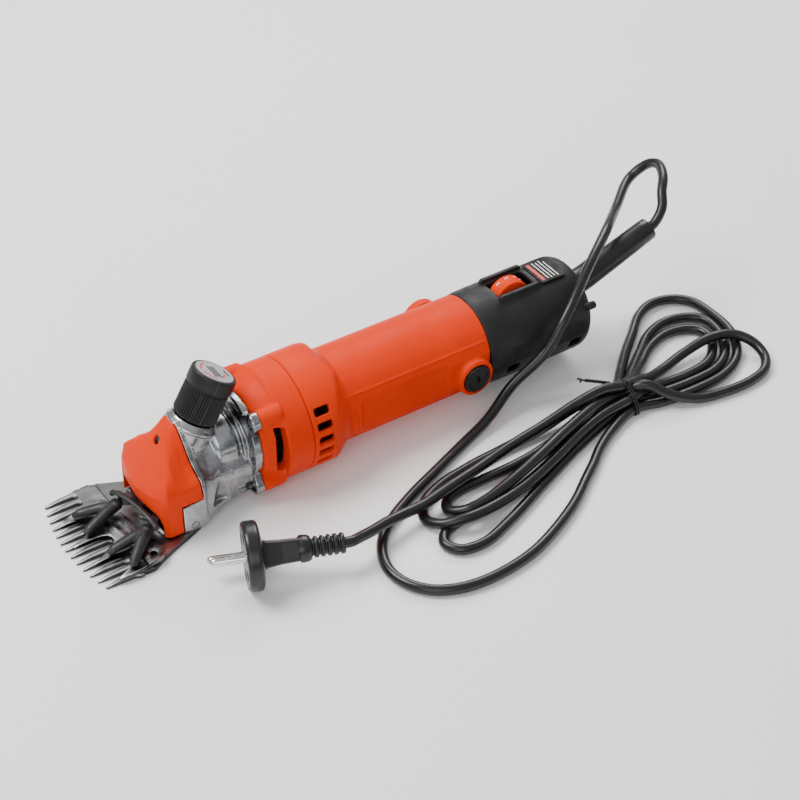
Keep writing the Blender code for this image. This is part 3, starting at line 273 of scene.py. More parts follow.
class Paint:
    """A Principled material built up node by node."""

    def __init__(self, name, color, roughness, metallic):
        self.mat = bpy.data.materials.new(name)
        self.mat.use_nodes = True
        self.tree = self.mat.node_tree
        self.shader = self.tree.nodes["Principled BSDF"]
        self.put("Base Color", (*color, 1.0))
        self.put("Roughness", roughness)
        self.put("Metallic", metallic)
        self.coords = self.node("TexCoord").outputs["Object"]
        self.bumps = None
        self.tone = None

    def put(self, socket, value):
        self.shader.inputs[socket].default_value = value

    def node(self, kind, **inputs):
        """A new node, with each named input set to a value or linked to another node's output."""
        node = self.tree.nodes.new("ShaderNode" + kind)
        for name, value in inputs.items():
            if isinstance(value, bpy.types.NodeSocket):
                self.tree.links.new(value, node.inputs[name])
            else:
                node.inputs[name].default_value = value
        return node

    def drive(self, source, socket):
        self.tree.links.new(source, self.shader.inputs[socket])

    def noise(self, scale, detail=4.0, rough=0.55, stretch=None):
        source = self.coords
        if stretch:
            source = self.node("Mapping", Scale=stretch, Vector=source).outputs["Vector"]
        node = self.node("TexNoise", Scale=scale, Detail=detail, Roughness=rough, Vector=source)
        return node.outputs["Fac"]

    def ramp(self, source, *stops):
        node = self.node("ValToRGB", Fac=source)
        while len(node.color_ramp.elements) < len(stops):
            node.color_ramp.elements.new(0.5)
        for element, (position, color) in zip(node.color_ramp.elements, stops):
            element.position = position
            element.color = (*color, 1.0) if isinstance(color, tuple) else (color, color, color, 1.0)
        return node.outputs["Color"]

    def tint(self, source, low, high, factor_low=0.3, factor_high=0.7):
        """Vary the base colour between two shades."""
        self.tone = self.ramp(source, (factor_low, low), (factor_high, high))
        self.drive(self.tone, "Base Color")

    def mix_over(self, mask, color):
        """Lay another colour over the present one where the mask is bright."""
        node = self.node("Mix")
        node.data_type = "RGBA"
        self.tree.links.new(mask, node.inputs["Factor"])
        self.tree.links.new(self.tone, node.inputs["A"])
        node.inputs["B"].default_value = (*color, 1.0)
        self.tone = node.outputs["Result"]
        self.drive(self.tone, "Base Color")

    def gloss(self, source, low, high, factor_low=0.3, factor_high=0.7):
        self.drive(self.ramp(source, (factor_low, low), (factor_high, high)), "Roughness")

    def bump(self, source, distance, strength=1.0):
        node = self.node("Bump", Strength=strength, Distance=distance, Height=source)
        if self.bumps is not None:
            self.tree.links.new(self.bumps, node.inputs["Normal"])
        self.bumps = node.outputs["Normal"]
        self.drive(self.bumps, "Normal")

    def edges(self, color, low=0.52, high=0.62):
        """Wear and painted highlight where the surface turns outwards: a lighter colour on convex edges."""
        geometry = self.node("NewGeometry")
        self.mix_over(self.ramp(geometry.outputs["Pointiness"], (low, 0.0), (high, 1.0)), color)

    def painted_flank_shade(self, color, low=0.3, high=0.75):
        """Painted shade: lay the given colour, darker than the paint, on the faces that stand upright."""
        split = self.node("SeparateXYZ", Vector=self.node("NewGeometry").outputs["True Normal"])
        self.mix_over(self.ramp(split.outputs["Z"], (low, 1.0), (high, 0.0)), color)


def finish(name, color, rough, metal, tint, gloss=None, bumps=(), painted_flank_shade=None, edges=None, specular=None):
    """One whole paint; each step that starts from noise gives that noise's settings first."""
    paint = Paint(name, color, rough, metal)
    if specular is not None:
        paint.put("Specular IOR Level", specular)
    paint.tint(paint.noise(*tint[0]), *tint[1:])
    # painted shade: the upright faces get a darker colour
    if painted_flank_shade:
        paint.painted_flank_shade(*painted_flank_shade)
    # wear and painted highlight: convex edges get a lighter colour
    if edges:
        paint.edges(*edges)
    if gloss:
        paint.gloss(paint.noise(*gloss[0]), *gloss[1:])
    for noise, distance, strength in bumps:
        paint.bump(paint.noise(*noise), distance, strength)
    return paint.mat


def grey(value):
    return (value, value, value)


STREAK = (260.0, 5.0, 0.6, (0.08, 1.0, 1.0))
# The edge steps in the paints below lighten convex edges: partly wear, partly painted highlight.
PAINTS = {
    "orange": finish(
        "orange_plastic", (0.72, 0.031, 0.0002), 0.5, 0.0,
        ((28.0,), (0.67, 0.027, 0.0001), (0.76, 0.036, 0.0003)), ((90.0,), 0.42, 0.56),
        [((1500.0, 2.0), 0.00004, 0.35)], edges=((0.88, 0.085, 0.003), 0.54, 0.70), specular=0.08),
    "black": finish(
        "black_plastic", (0.008, 0.008, 0.009), 0.5, 0.0,
        ((60.0,), (0.006, 0.006, 0.007), (0.012, 0.012, 0.013)), ((140.0,), 0.44, 0.60),
        [((2600.0, 3.0), 0.00006, 0.5)], edges=((0.035, 0.035, 0.037), 0.53, 0.70), specular=0.32),
    "rubber": finish(
        "black_rubber", (0.007, 0.007, 0.008), 0.3, 0.0,
        ((45.0,), (0.005, 0.005, 0.006), (0.010, 0.010, 0.011)), ((70.0,), 0.24, 0.38),
        [((900.0, 2.0), 0.00005, 0.35)], specular=0.42),
    "cast": finish(
        "cast_aluminium", (0.42, 0.43, 0.45), 0.2, 1.0,
        ((38.0, 6.0), (0.09, 0.093, 0.10), (0.50, 0.51, 0.53), 0.36, 0.66), ((120.0, 5.0), 0.13, 0.33),
        [((160.0, 3.0), 0.0004, 0.30), ((1300.0, 2.0), 0.00005, 0.4)],
        edges=((0.85, 0.86, 0.88), 0.52, 0.62)),
    # ground steel: its upright faces are painted near-black, as painted shade
    "ground": finish(
        "ground_steel", grey(0.28), 0.34, 1.0, (STREAK, (0.19, 0.187, 0.184), (0.38, 0.376, 0.37)),
        ((90.0,), 0.26, 0.44), [(STREAK, 0.00006, 0.5)], (grey(0.05),)),
    # blade steel: its upright walls are painted near-black, as painted shade
    "blade": finish(
        "dark_blade_steel", (0.12, 0.12, 0.125), 0.3, 1.0,
        ((70.0, 5.0), (0.14, 0.14, 0.145), (0.34, 0.34, 0.345), 0.35, 0.7), ((150.0,), 0.2, 0.4),
        [((400.0,), 0.0001, 0.4)], ((0.010, 0.010, 0.011), 0.45, 0.93), ((0.50, 0.50, 0.51), 0.54, 0.64)),
    "bright": finish(
        "bright_steel", (0.66, 0.65, 0.62), 0.16, 1.0, ((80.0,), (0.55, 0.54, 0.52), (0.74, 0.73, 0.70)),
        ((300.0, 3.0), 0.12, 0.26)),
    "dark": finish(
        "blued_steel", (0.10, 0.10, 0.11), 0.34, 1.0, ((120.0,), (0.06, 0.06, 0.065), (0.16, 0.16, 0.17)),
        ((220.0,), 0.26, 0.44)),
    "yoke": finish(
        "black_forging", (0.009, 0.009, 0.01), 0.42, 0.0,
        ((160.0, 5.0), (0.006, 0.006, 0.007), (0.016, 0.016, 0.017)), ((260.0,), 0.32, 0.52),
        [((700.0, 4.0), 0.00015, 0.5)], edges=((0.05, 0.05, 0.052), 0.52, 0.66), specular=0.4),
    "wound": finish(
        "wound_copper", (0.65, 0.26, 0.1), 0.36, 1.0,
        ((500.0, 2.0, 0.5, (0.1, 1.0, 1.0)), (0.42, 0.14, 0.05), (0.80, 0.36, 0.16)), None,
        [((900.0, 2.0, 0.5, (0.06, 1.0, 1.0)), 0.0003, 0.8)])}
for name, color, rough, metal, scale in (
        ("brass", (0.62, 0.42, 0.14), 0.28, 1.0, 90), ("copper", (0.72, 0.30, 0.13), 0.34, 1.0, 140),
        ("core", (0.22, 0.22, 0.24), 0.5, 1.0, 200), ("carbon", grey(0.025), 0.65, 0.0, 300),
        ("grey", (0.36, 0.36, 0.37), 0.38, 0.0, 70), ("label", grey(0.003), 0.75, 0.0, 60),
        ("board", (0.02, 0.16, 0.06), 0.45, 0.0, 120), ("white_ink", (0.75, 0.75, 0.74), 0.5, 0.0, 200),
        ("red_ink", (0.62, 0.02, 0.015), 0.5, 0.0, 200), ("dark_ink", grey(0.03), 0.5, 0.0, 200)):
    shades = (tuple(c * 0.85 for c in color), tuple(min(c * 1.12, 1) for c in color))
    PAINTS[name] = finish(name, color, rough, metal, ((scale,), *shades),
                          ((scale * 1.7,), rough * 0.85, rough * 1.2), [((scale * 9,), 0.00003, 0.3)])
SLOT_PAINT = {name: name for name in ("rubber", "brass", "copper", "carbon", "label", "board")}
SLOT_PAINT.update(orange_plastic="orange", black_plastic="black", cast_aluminium="cast",
                  ground_steel="ground", bright_steel="bright", core_steel="core", grey_plate="grey")


# ---- cord

def spline_through(points, spacing):
    """Evenly spaced points along a smooth curve through the chosen points (centripetal form)."""
    points = [Vector(p) for p in points]
    padded = [points[0] * 2 - points[1]] + points + [points[-1] * 2 - points[-2]]
    fine = []
    for p0, p1, p2, p3 in zip(padded, padded[1:], padded[2:], padded[3:]):
        knots = [0.0]
        for a, b in ((p0, p1), (p1, p2), (p2, p3)):
            knots.append(knots[-1] + max((b - a).length, 1e-6) ** 0.5)
        for i in range(16):
            t = knots[1] + (knots[2] - knots[1]) * i / 16
            level = [p0, p1, p2, p3]
            for width in (1, 2):
                level = [a.lerp(b, (t - knots[k]) / (knots[k + width] - knots[k]))
                         for k, (a, b) in enumerate(zip(level, level[1:]))]
            fine.append(level[0].lerp(level[1], (t - knots[1]) / (knots[2] - knots[1])))
    fine.append(points[-1])
    total = sum((b - a).length for a, b in zip(fine, fine[1:]))
    count = max(int(round(total / spacing)), 2)
    step = total / count
    chosen, walked = [fine[0]], 0.0
    for a, b in zip(fine, fine[1:]):
        length = (b - a).length
        while len(chosen) < count and walked + length >= step * len(chosen):
            chosen.append(a.lerp(b, (step * len(chosen) - walked) / max(length, 1e-9)))
        walked += length
    chosen.append(fine[-1])
    return chosen


LOW = CORD_Z                     # a cord on the floor, then one and two cords up
ONE = CORD_Z + 6.0
TWO = CORD_Z + 12.0
TIE_X = 321.5
GUARD_TILT = math.radians(20.0)
GUARD_AXIS = Vector((math.cos(GUARD_TILT), 0.0, math.sin(GUARD_TILT)))
GUARD_END = Vector((391.0, 2.0, 25.7))
TIE_ZERO = FLOOR_Z + 4.35        # the tie's wire passes under the cords here
TIE_ONE = TIE_ZERO + 5.45
TIE_TWO = TIE_ZERO + 10.9
PLUG_AXIS = Vector((-0.93, 0.367, 0.0)).normalized()
PLUG_REAR = Vector((113.1, -93.5, -14.8))


def at(height, *places):
    return [(x, y, height) for x, y in places]


LEAD = [
    (402.4, 4.5, 34.2), (407.5, 11.6, 40.9), (414.1, 18.9, 44.6), (422.1, 34.1, 43.4), (420.4, 41.9, 39.4),
    (411.0, 45.5, 31.5), (384.0, 25.0, 30.8), (355.4, 0.1, 37.1), (325.6, -19.8, 30.5),
    (302.0, -33.4, 17.6), (285.6, -36.4, 0.0), (264.6, -34.0, -16.5), (243.5, -40.5, -27.0),
    *at(LOW, (219.8, -48.0), (195.2, -58.0), (172.0, -67.6), (153.0, -77.6), (142.2, -86.0),
    (133.8, -97.5), (130.0, -110.0), (132.0, -122.5), (140.0, -134.0), (152.0, -141.0), (165.8, -144.0),
    (182.4, -144.0), (201.0, -141.0), (218.0, -135.0), (243.0, -122.5), (262.5, -109.0), (272.0, -102.5),
    (284.0, -93.5), (300.0, -84.5)), (TIE_X, -77.3, TIE_ZERO)]
HANK = [
    # first loop past the tie, and back
    *at(LOW, (340, -80.5), (362, -82.5), (386, -81), (402, -74), (413, -62), (419, -47), (420, -30),
    (418, -14), (409, -5), (396, -2), (382, -7), (366, -20), (353, -30.5), (337, -45)),
    (TIE_X, -58.7, TIE_ZERO),
    # fold at the plug's side, lowest
    *at(LOW, (302, -62), (280, -73), (256, -84.5), (228, -93), (204, -98), (184, -99), (172, -102.2),
    (166, -109.5), (170.5, -118), (184, -120.5), (206, -114), (238, -100.5), (268, -88), (300, -76.5)),
    (TIE_X, -71.1, TIE_ZERO),
    # second loop past the tie
    *at(LOW, (342, -73.5), (365, -75.5), (386, -74), (399, -67), (408, -56), (412.5, -43), (411.5, -31),
    (403, -24), (389, -21.5), (373, -26.5), (359, -36.5), (338, -52)), (TIE_X, -64.9, TIE_ZERO),
    # outer fold
    (306, -62, ONE - 1), (290, -62, ONE), (267, -63, LOW + 2), *at(LOW, (240, -63.5), (213, -65.5),
    (190, -69.5), (174.5, -77), (168, -88)), (171.5, -98.5, LOW + 3), *at(ONE, (183, -104.5), (198, -105),
    (222, -101.5), (250, -92.5), (278, -82), (300, -76)), (TIE_X, -74.2, TIE_ONE),
    # third loop past the tie
    (333, -71.5, ONE), (348, -68.5, LOW + 1), *at(LOW, (368, -69), (386, -66.5), (397, -58.5), (404, -48),
    (402, -38), (393, -32.5), (381, -31.5), (366, -36.5), (351, -46.5)), (336, -57, LOW + 3),
    (TIE_X, -61.8, TIE_ONE),
    # inner fold
    (306, -67, ONE + 3), (286, -75, ONE + 3), (262, -79.5, ONE), (236, -81, LOW + 3),
    (212, -79.5, LOW + 1), (196, -79.0, LOW), (186, -82.5, LOW), (182.0, -89.8, LOW + 1),
    (187, -97.2, LOW + 4), (200, -99.4, ONE + 1), (220, -96.5, ONE + 4), (242, -90.5, TWO),
    (272, -79.8, TWO), (300, -70.5, TWO - 2), (TIE_X, -68, TIE_ONE),
    # wide loop on top
    (331, -73, TWO), (343, -83, ONE), (358, -90, LOW + 1), (380, -94, LOW), (398, -94, LOW),
    (411, -90, LOW), (418.5, -81, LOW + 1), (418.5, -70, ONE - 2), (411, -60.5, ONE + 1),
    (397, -55.5, ONE + 1), (378, -54.5, LOW + 3), (360, -57.5, LOW + 1), (345, -61.5, LOW + 3),
    (334, -64.5, ONE + 2), (TIE_X, -68, TIE_TWO),
    # out to the plug, over the folds
    (305, -66.5, TWO + 3), (285, -67.5, TWO + 2), (262, -69.5, ONE + 5), (236, -72, ONE + 3),
    *at(ONE + 1, (212, -75.5), (190, -79.5), (176, -82.5), (167.6, -84.0)), (153.5, -84.5, -23.2),
    (143.0, -86.5, -21.5), (132.7, -89.8, -19.3), (123.5, -92.4, -17.0)]


def tube(name, points, radius, sides, nodes):
    curve = bpy.data.curves.new(name, "CURVE")
    curve.dimensions = "3D"
    curve.bevel_depth = radius * MM
    curve.bevel_resolution = sides
    curve.use_fill_caps = True
    spline = curve.splines.new("POLY")
    spline.points.add(len(points) - 1)
    for point, spot in zip(spline.points, points):
        point.co = (*world(spot), 1.0)
    spline.use_smooth = True
    curve.materials.append(PAINTS["rubber"])
    return claim(place(name, curve), "tool", nodes)


def curve_length(points):
    return sum((Vector(b) - Vector(a)).length for a, b in zip(points, points[1:]))


def build_cord():
    bend = guard_line()
    route = [Vector((326.0, 2.0, 6.0))] + bend + [bend[-1].lerp(GUARD_END, k / 4) for k in range(1, 5)]
    route += [GUARD_END + GUARD_AXIS * 4.0] + LEAD + HANK
    route += [PLUG_REAR - PLUG_AXIS * 3.0, PLUG_REAR + PLUG_AXIS * 1.0]
    points = spline_through(route, 2.5)
    cord = tube("mains_cord", points, CORD_RADIUS, 4, ["cord_lead", "cord_hank", "cord_tail"])
    return cord, world((327.5, 2.0, 6.0)), curve_length(points) * MM


def build_tie():
    """A wire twist tie: two turns round the coil, then a twisted tail that splays at its end."""
    hull = [(-77.3, -33.3), (-68.0, -33.35), (-58.7, -33.3), (-55.7, -32.0), (-54.9, -29.6), (-56.3, -25.6),
            (-58.7, -22.3), (-64.6, -17.0), (-68.0, -15.2), (-71.4, -17.0), (-77.3, -22.3), (-79.7, -25.6),
            (-81.1, -29.6), (-80.3, -32.0)]
    start = 5
    hull = hull[start:] + hull[:start]
    lap = [Vector((0, y, z)) for y, z in hull]
    loop = spline_through(lap + lap[:1], 1.2)
    points = []
    for turn in range(2):
        for i, spot in enumerate(loop[:-1]):
            points.append(spot + X * (TIE_X - 0.8 + 1.6 * (turn + i / len(loop)) - 0.8))
    knot = points[0] + Vector((0.8, 0.9, 0.5))
    out = Vector((-0.86, 0.47, 0.20)).normalized()
    side, up = basis(out)

    def strand(phase, splay):
        twist = []
        for i in range(60):
            s = i / 59
            a = phase + 2 * math.pi * 4.5 * s
            twist.append(knot + out * (15.0 * s) + side * (0.62 * math.cos(a)) + up * (0.62 * math.sin(a)))
        end = twist[-1]
        twist += [end + splay * 1.5, end + splay * 4.0 + out * 1.0, end + splay * 5.5 - Z * 1.2]
        return twist

    one = strand(0.0, (out + side * 0.9 + up * 0.3).normalized())
    two = strand(math.pi, (out - side * 0.8 - up * 0.2).normalized())
    wire = list(reversed(two)) + points + one
    return tube("twist_tie", wire, 0.55, 3, ["cord_tie"])


# ---- shared sections

def swept(points, sizes, count=24, plane=None):
    """Rings along a bent line; sizes gives each ring's half width and half height."""
    points = [Vector(p) for p in points]
    made = []
    for i, (point, size) in enumerate(zip(points, sizes)):
        axis = (points[min(i + 1, len(points) - 1)] - points[max(i - 1, 0)]).normalized()
        side = Vector(plane) if plane else axis.cross(Z).normalized()
        up = side.cross(axis).normalized()
        wide, tall = size if isinstance(size, tuple) else (size, size)
        turns = [2 * math.pi * (k + 0.5) / count for k in range(count)]
        made.append([point + side * (wide * math.cos(a)) + up * (tall * math.sin(a)) for a in turns])
    return made


def resample(profile, count):
    points = [Vector((*p, 0)) for p in profile]
    lengths = [0.0]
    for a, b in zip(points, points[1:]):
        lengths.append(lengths[-1] + (b - a).length)
    made = []
    for i in range(count):
        target = lengths[-1] * i / (count - 1)
        k = max(j for j in range(len(lengths)) if lengths[j] <= target + 1e-9)
        k = min(k, len(points) - 2)
        share = (target - lengths[k]) / max(lengths[k + 1] - lengths[k], 1e-9)
        spot = points[k].lerp(points[k + 1], share)
        made.append((spot.x, spot.y))
    return made


def half_sections(sections, inset=0.0, shift=0.0, top=18, side=5):
    """Closed rings across X from half profiles (y, z): from the ridge to the edge, then down to low."""
    made = []
    for x, low, profile in sections:
        roof = resample(profile, top)
        edge_y, edge_z = roof[-1]
        wall = [(edge_y, edge_z + (low - edge_z) * k / side) for k in range(1, side + 1)]
        right = [(max(y - inset * min(y / 10.0, 1.0), 0.0), z - inset if z > low + 0.01 else z)
                 for y, z in roof + wall]
        ring = [Vector((x + shift, y, z)) for y, z in right]
        ring += [Vector((x + shift, -y, z)) for y, z in reversed(right[1:])]
        made.append(ring)
    return made


# ---- comb, cutter and fork

SWING = turn_about((PIVOT_X, 0, 0), 10.0)
COMB_TOP = FLOOR_Z + 2.9
CUTTER_LOW = COMB_TOP + 0.3
CUTTER_TOP = CUTTER_LOW + 2.9
HEAD_LOW = COMB_TOP + 0.3


def build_comb():
    span, count, root = 74.0, 13, 17.5
    pitch = span / (count - 1)
    shape = ((-0.8, 0.0), (0.8, 0.0), (1.0, 0.25), (1.0, 0.62), (0.74, 0.92), (0.3, 1.0), (-0.3, 1.0),
             (-0.74, 0.92), (-1.0, 0.62), (-1.0, 0.25))
    teeth = []
    for i in range(count):
        y = span / 2 - i * pitch
        tip = -COMB_BOW * (1 - (y / (span / 2)) ** 2)
        sizes = [(tip, 0.25, 0.7), (tip + 0.9, 0.7, 1.25), (tip + 4.0, 1.15, 1.9), (tip + 9.0, 1.55, 2.6),
                 (root - 1.5, 1.9, 2.88), (root + 0.4, 2.45, 2.88), (root + 1.4, 3.4, 2.88),
                 (root + 4.0, 3.4, 2.88)]
        teeth.append([[Vector((x, y + a * w, FLOOR_Z + b * h)) for a, b in shape] for x, w, h in sizes])
    outline = [(64, -24), (64, 24), (56, 27.4), (43.5, 32), (34.5, 36.2), (29.5, 39.0), (27.5, 39.5),
               (24, 39.4), (18.4, 38.0)]
    outline += [(x, -y) for x, y in reversed(outline[2:])]
    comb = solid(slab(outline, FLOOR_Z, COMB_TOP))
    join(comb, solid(*[rings(tooth) for tooth in teeth]))
    slots = []
    mouths = []
    for side in (1, -1):
        y = side * 13.0
        slots.append(block((54.0, y - 2.4, FLOOR_Z - 1), (70, y + 2.4, COMB_TOP + 1)))
        mouths.append(block((52.8, y - 4.6, FLOOR_Z - 1), (70, y + 4.6, FLOOR_Z + 1.9)))
    cut(comb, block((27.6, -50, COMB_TOP - 0.7), (31.4, 50, COMB_TOP + 2)))
    cut(comb, *slots)
    cut(comb, *mouths)
    soften(comb, 0.25, 40)
    publish(comb, "comb_plate", "ground_steel", ["comb"], 30)


def build_cutter():
    tips = [(2.2 if abs(k) > 1 else -1.2, 9.0 * k) for k in (3, 1, -1, -3)]
    outline = [(33, -26), (33, 26), (31.5, 28.4), (28, 30.5), (17, 30.6), (8, 29.4)]
    for i, (x, y) in enumerate(tips):
        outline += [(x, y + 0.35), (x, y - 0.35)]
        if i < 3:
            next_x = tips[i + 1][0]
            for k in range(1, 20):
                s = k / 20
                depth = 1 - abs(2 * s - 1) ** 2.7
                tip = x + (next_x - x) * s
                outline.append((tip + (17.6 - tip) * depth, y - 0.35 - 17.3 * s))
    outline += [(8, -29.4), (17, -30.6), (28, -30.5), (31.5, -28.4)]
    cutter = solid(slab(outline, CUTTER_LOW, CUTTER_TOP))
    slope = turn_about((19.0, 0, CUTTER_TOP), -4.6, "Y")
    cut(cutter, block((-20, -50, CUTTER_TOP), (19.0, 50, CUTTER_TOP + 20), slope))
    hollows = []
    for _, y in tips:
        hollows.append(turned((6.0, y, CUTTER_TOP + 5.4), X, [(0, 6.0), (13.0, 6.6), (14.0, 5.4)], 40))
    cut(cutter, *hollows)
    cut(cutter, turned((26.0, -25.5, CUTTER_LOW - 1), Z, [(0, 2.0), (6, 2.0)], 24),
        turned((26.0, 25.5, CUTTER_LOW - 1), Z, [(0, 2.0), (6, 2.0)], 24))
    soften(cutter, 0.22, 35)
    cutter.data.transform(SWING)
    publish(cutter, "cutter_blade", "ground_steel", ["cutter"], 28, "fork", "blade")


def build_yokes():
    foot_z = CUTTER_TOP + 0.35
    for name, side in SIDES:
        apex = Vector((30.5, side * 13.8, -22.6))
        feet = [Vector((11.4, side * 26.6, foot_z)), Vector((7.8, side * 10.2, foot_z))]
        legs = []
        for foot in feet:
            line = [apex + (apex - foot).normalized() * 1.6 + Z * 0.4, apex, apex.lerp(foot, 0.3) + Z * 1.2,
                    apex.lerp(foot, 0.6) + Z * 1.6, apex.lerp(foot, 0.86) + Z * 1.8, foot + Z * 1.2, foot]
            sizes = [(2.6, 1.9), (3.6, 3.1), (3.6, 3.0), (3.3, 2.6), (2.8, 2.2), (2.1, 1.5), (1.3, 0.9)]
            legs.append(solid(rings(swept(line, sizes, 20))))
        lump = [(0, 1.8), (0.9, 3.3), (3.2, 3.8), (5.0, 3.0), (5.6, 1.2)]
        knuckle = solid(turned(apex + Vector((0.6, 0, -2.3)), Z, lump, 28))
        web = [apex.lerp(foot, 0.25) for foot in feet]
        bridge = solid(rings(swept(web, [(3.4, 1.2), (3.4, 1.2)], 16)))
        yoke = join(legs[0], legs[1], knuckle, bridge)
        melt(yoke, 0.35, 5)
        yoke.data.transform(SWING)
        publish(yoke, f"yoke_{name}_bar", "black_plastic", [f"yoke_{name}"], 180, "fork", "yoke")


def build_strap():
    half = [(33.4, 20.0, -19.6), (33.6, 18.6, -17.6), (34.0, 15.5, -16.3), (34.3, 9.0, -15.5),
            (34.6, 3.0, -15.2)]
    line = half + [(x, -y, z) for x, y, z in reversed(half)]
    sizes = [(1.3, 1.1), (1.9, 1.2), (2.0, 1.1), (1.7, 0.95), (1.6, 0.9), (1.6, 0.9), (1.7, 0.95),
             (2.0, 1.1), (1.9, 1.2), (1.3, 1.1)]
    strap = solid(rings(swept(line, sizes, 20)))
    for side in (1, -1):
        knob = [(-1.3, 0.6), (-0.9, 1.7), (0.0, 2.1), (0.9, 1.7), (1.3, 0.6)]
        join(strap, solid(turned((33.5, side * 19.2, -18.4), Y, knob, 20)))
    melt(strap, 0.3, 4)
    strap.data.transform(SWING)
    publish(strap, "yoke_strap", "black_plastic", ["yoke_spring"], 180, "fork", "yoke")


# ---- hood and gear head

JOINT = [(0, 28.4), (5.0, 28.2), (7.2, 26.4), (10.2, 22), (13, 15), (16.2, 8.3), (20, 4.2), (24, 1.4),
         (25.6, -0.4), (26, -3)]
HOOD = [
    (38, [(0, -10), (5, -10.1), (9, -10.5), (14, -12.5)]),
    (40, [(0, -5.4), (6, -5.6), (12, -6.8), (16, -9), (19, -12)]),
    (42.5, [(0, -1.2), (6, -1.2), (12, -1.4), (16, -1.9), (19.5, -2.8), (22, -4.2), (24, -7)]),
    (45.5, [(0, 4.2), (7, 4.2), (13, 4.5), (17, 4.6), (20, 4.4), (22.5, 3.6), (24.6, 1.8), (25.7, -1.2),
            (26, -4)]),
    (48, [(0, 8.8), (7, 8.7), (13, 8.7), (16, 8.0), (20, 6.2), (23, 3.8), (25.2, 0.6), (25.9, -2),
          (26, -4)]),
    (52, [(0, 15.4), (6, 15.2), (11, 14), (15, 11.8), (18, 9.2), (21, 6), (23.4, 3.2), (25, 0.8),
          (25.9, -1), (26, -3)]),
    (56, [(0, 20.6), (5.2, 20.3), (8.5, 18.2), (12, 14.2), (15.5, 10.2), (19, 6.6), (22, 3.6), (24.6, 0.8),
          (25.8, -0.8), (26, -3)]),
    (60, [(0, 25.2), (5, 25), (7.2, 23.2), (10.5, 17.8), (14, 11.4), (17.5, 6.6), (21.5, 3.2), (24.5, 0.6),
          (25.8, -0.8), (26, -3)]),
    (64, JOINT), (76, JOINT)]
JOINT_TILT = turn_about((66.3, 0, -12.0), -5.0, "Y")


def front_plan(inset):
    """The hood's rounded front, as a column whose face leans back towards its sides."""
    made = []
    for z in range(-50, 56, 5):
        ring = []
        for k in range(31):
            y = -26 + inset + (52 - 2 * inset) * k / 30
            out = abs(y) / 24
            ring.append(Vector((38.8 + inset + 4.7 * out ** 1.6 + 0.08 * z * out ** 2, y, z)))
        ring += [Vector((85, 26 - inset, z)), Vector((85, -26 + inset, z))]
        made.append(ring)
    return made


def build_hood():
    shells = []
    for low, inset, shift in ((-45, 0.0, 0.0), (-55, 2.2, 1.6)):
        roof = rings(half_sections([(x, low, profile) for x, profile in HOOD], inset, shift))
        shells.append(combine(solid(roof), "INTERSECT", solid(rings(front_plan(inset)))))
    hood = combine(shells[0], "DIFFERENCE", shells[1])
    side = [(23.6, -60), (23.6, -24), (23.2, -21), (22, -18.2), (19.0, -16.6), (13, -16.1), (6, -15.9)]
    arch = side + [(-y, z) for y, z in reversed(side)]
    hole_at, out = Vector((53.6, 0, 17.6)), Vector((-0.74, 0, 0.67)).normalized()
    cut(hood, block((30, -60, -60), (100, 60, HEAD_LOW + 1.2)))
    cut(hood, block((53.4, -60, -60), (100, 60, -11.5)))
    cut(hood, slab(arch, 30, 52, "yz"))
    cut(hood, block((66.3, -60, -80), (130, 60, 90), JOINT_TILT))
    cut(hood, turned(hole_at - out * 9, out, [(0, 2.4), (8.2, 2.4), (10.4, 3.6), (20, 5.0)], 40))
    melt(hood, 0.5, 4)
    publish(hood, "head_hood", "orange_plastic", ["head_cover"], 180)


def ears():
    return [Vector((0, y, z)) for y in (21.0, -21.0) for z in (22.0, -22.0)]


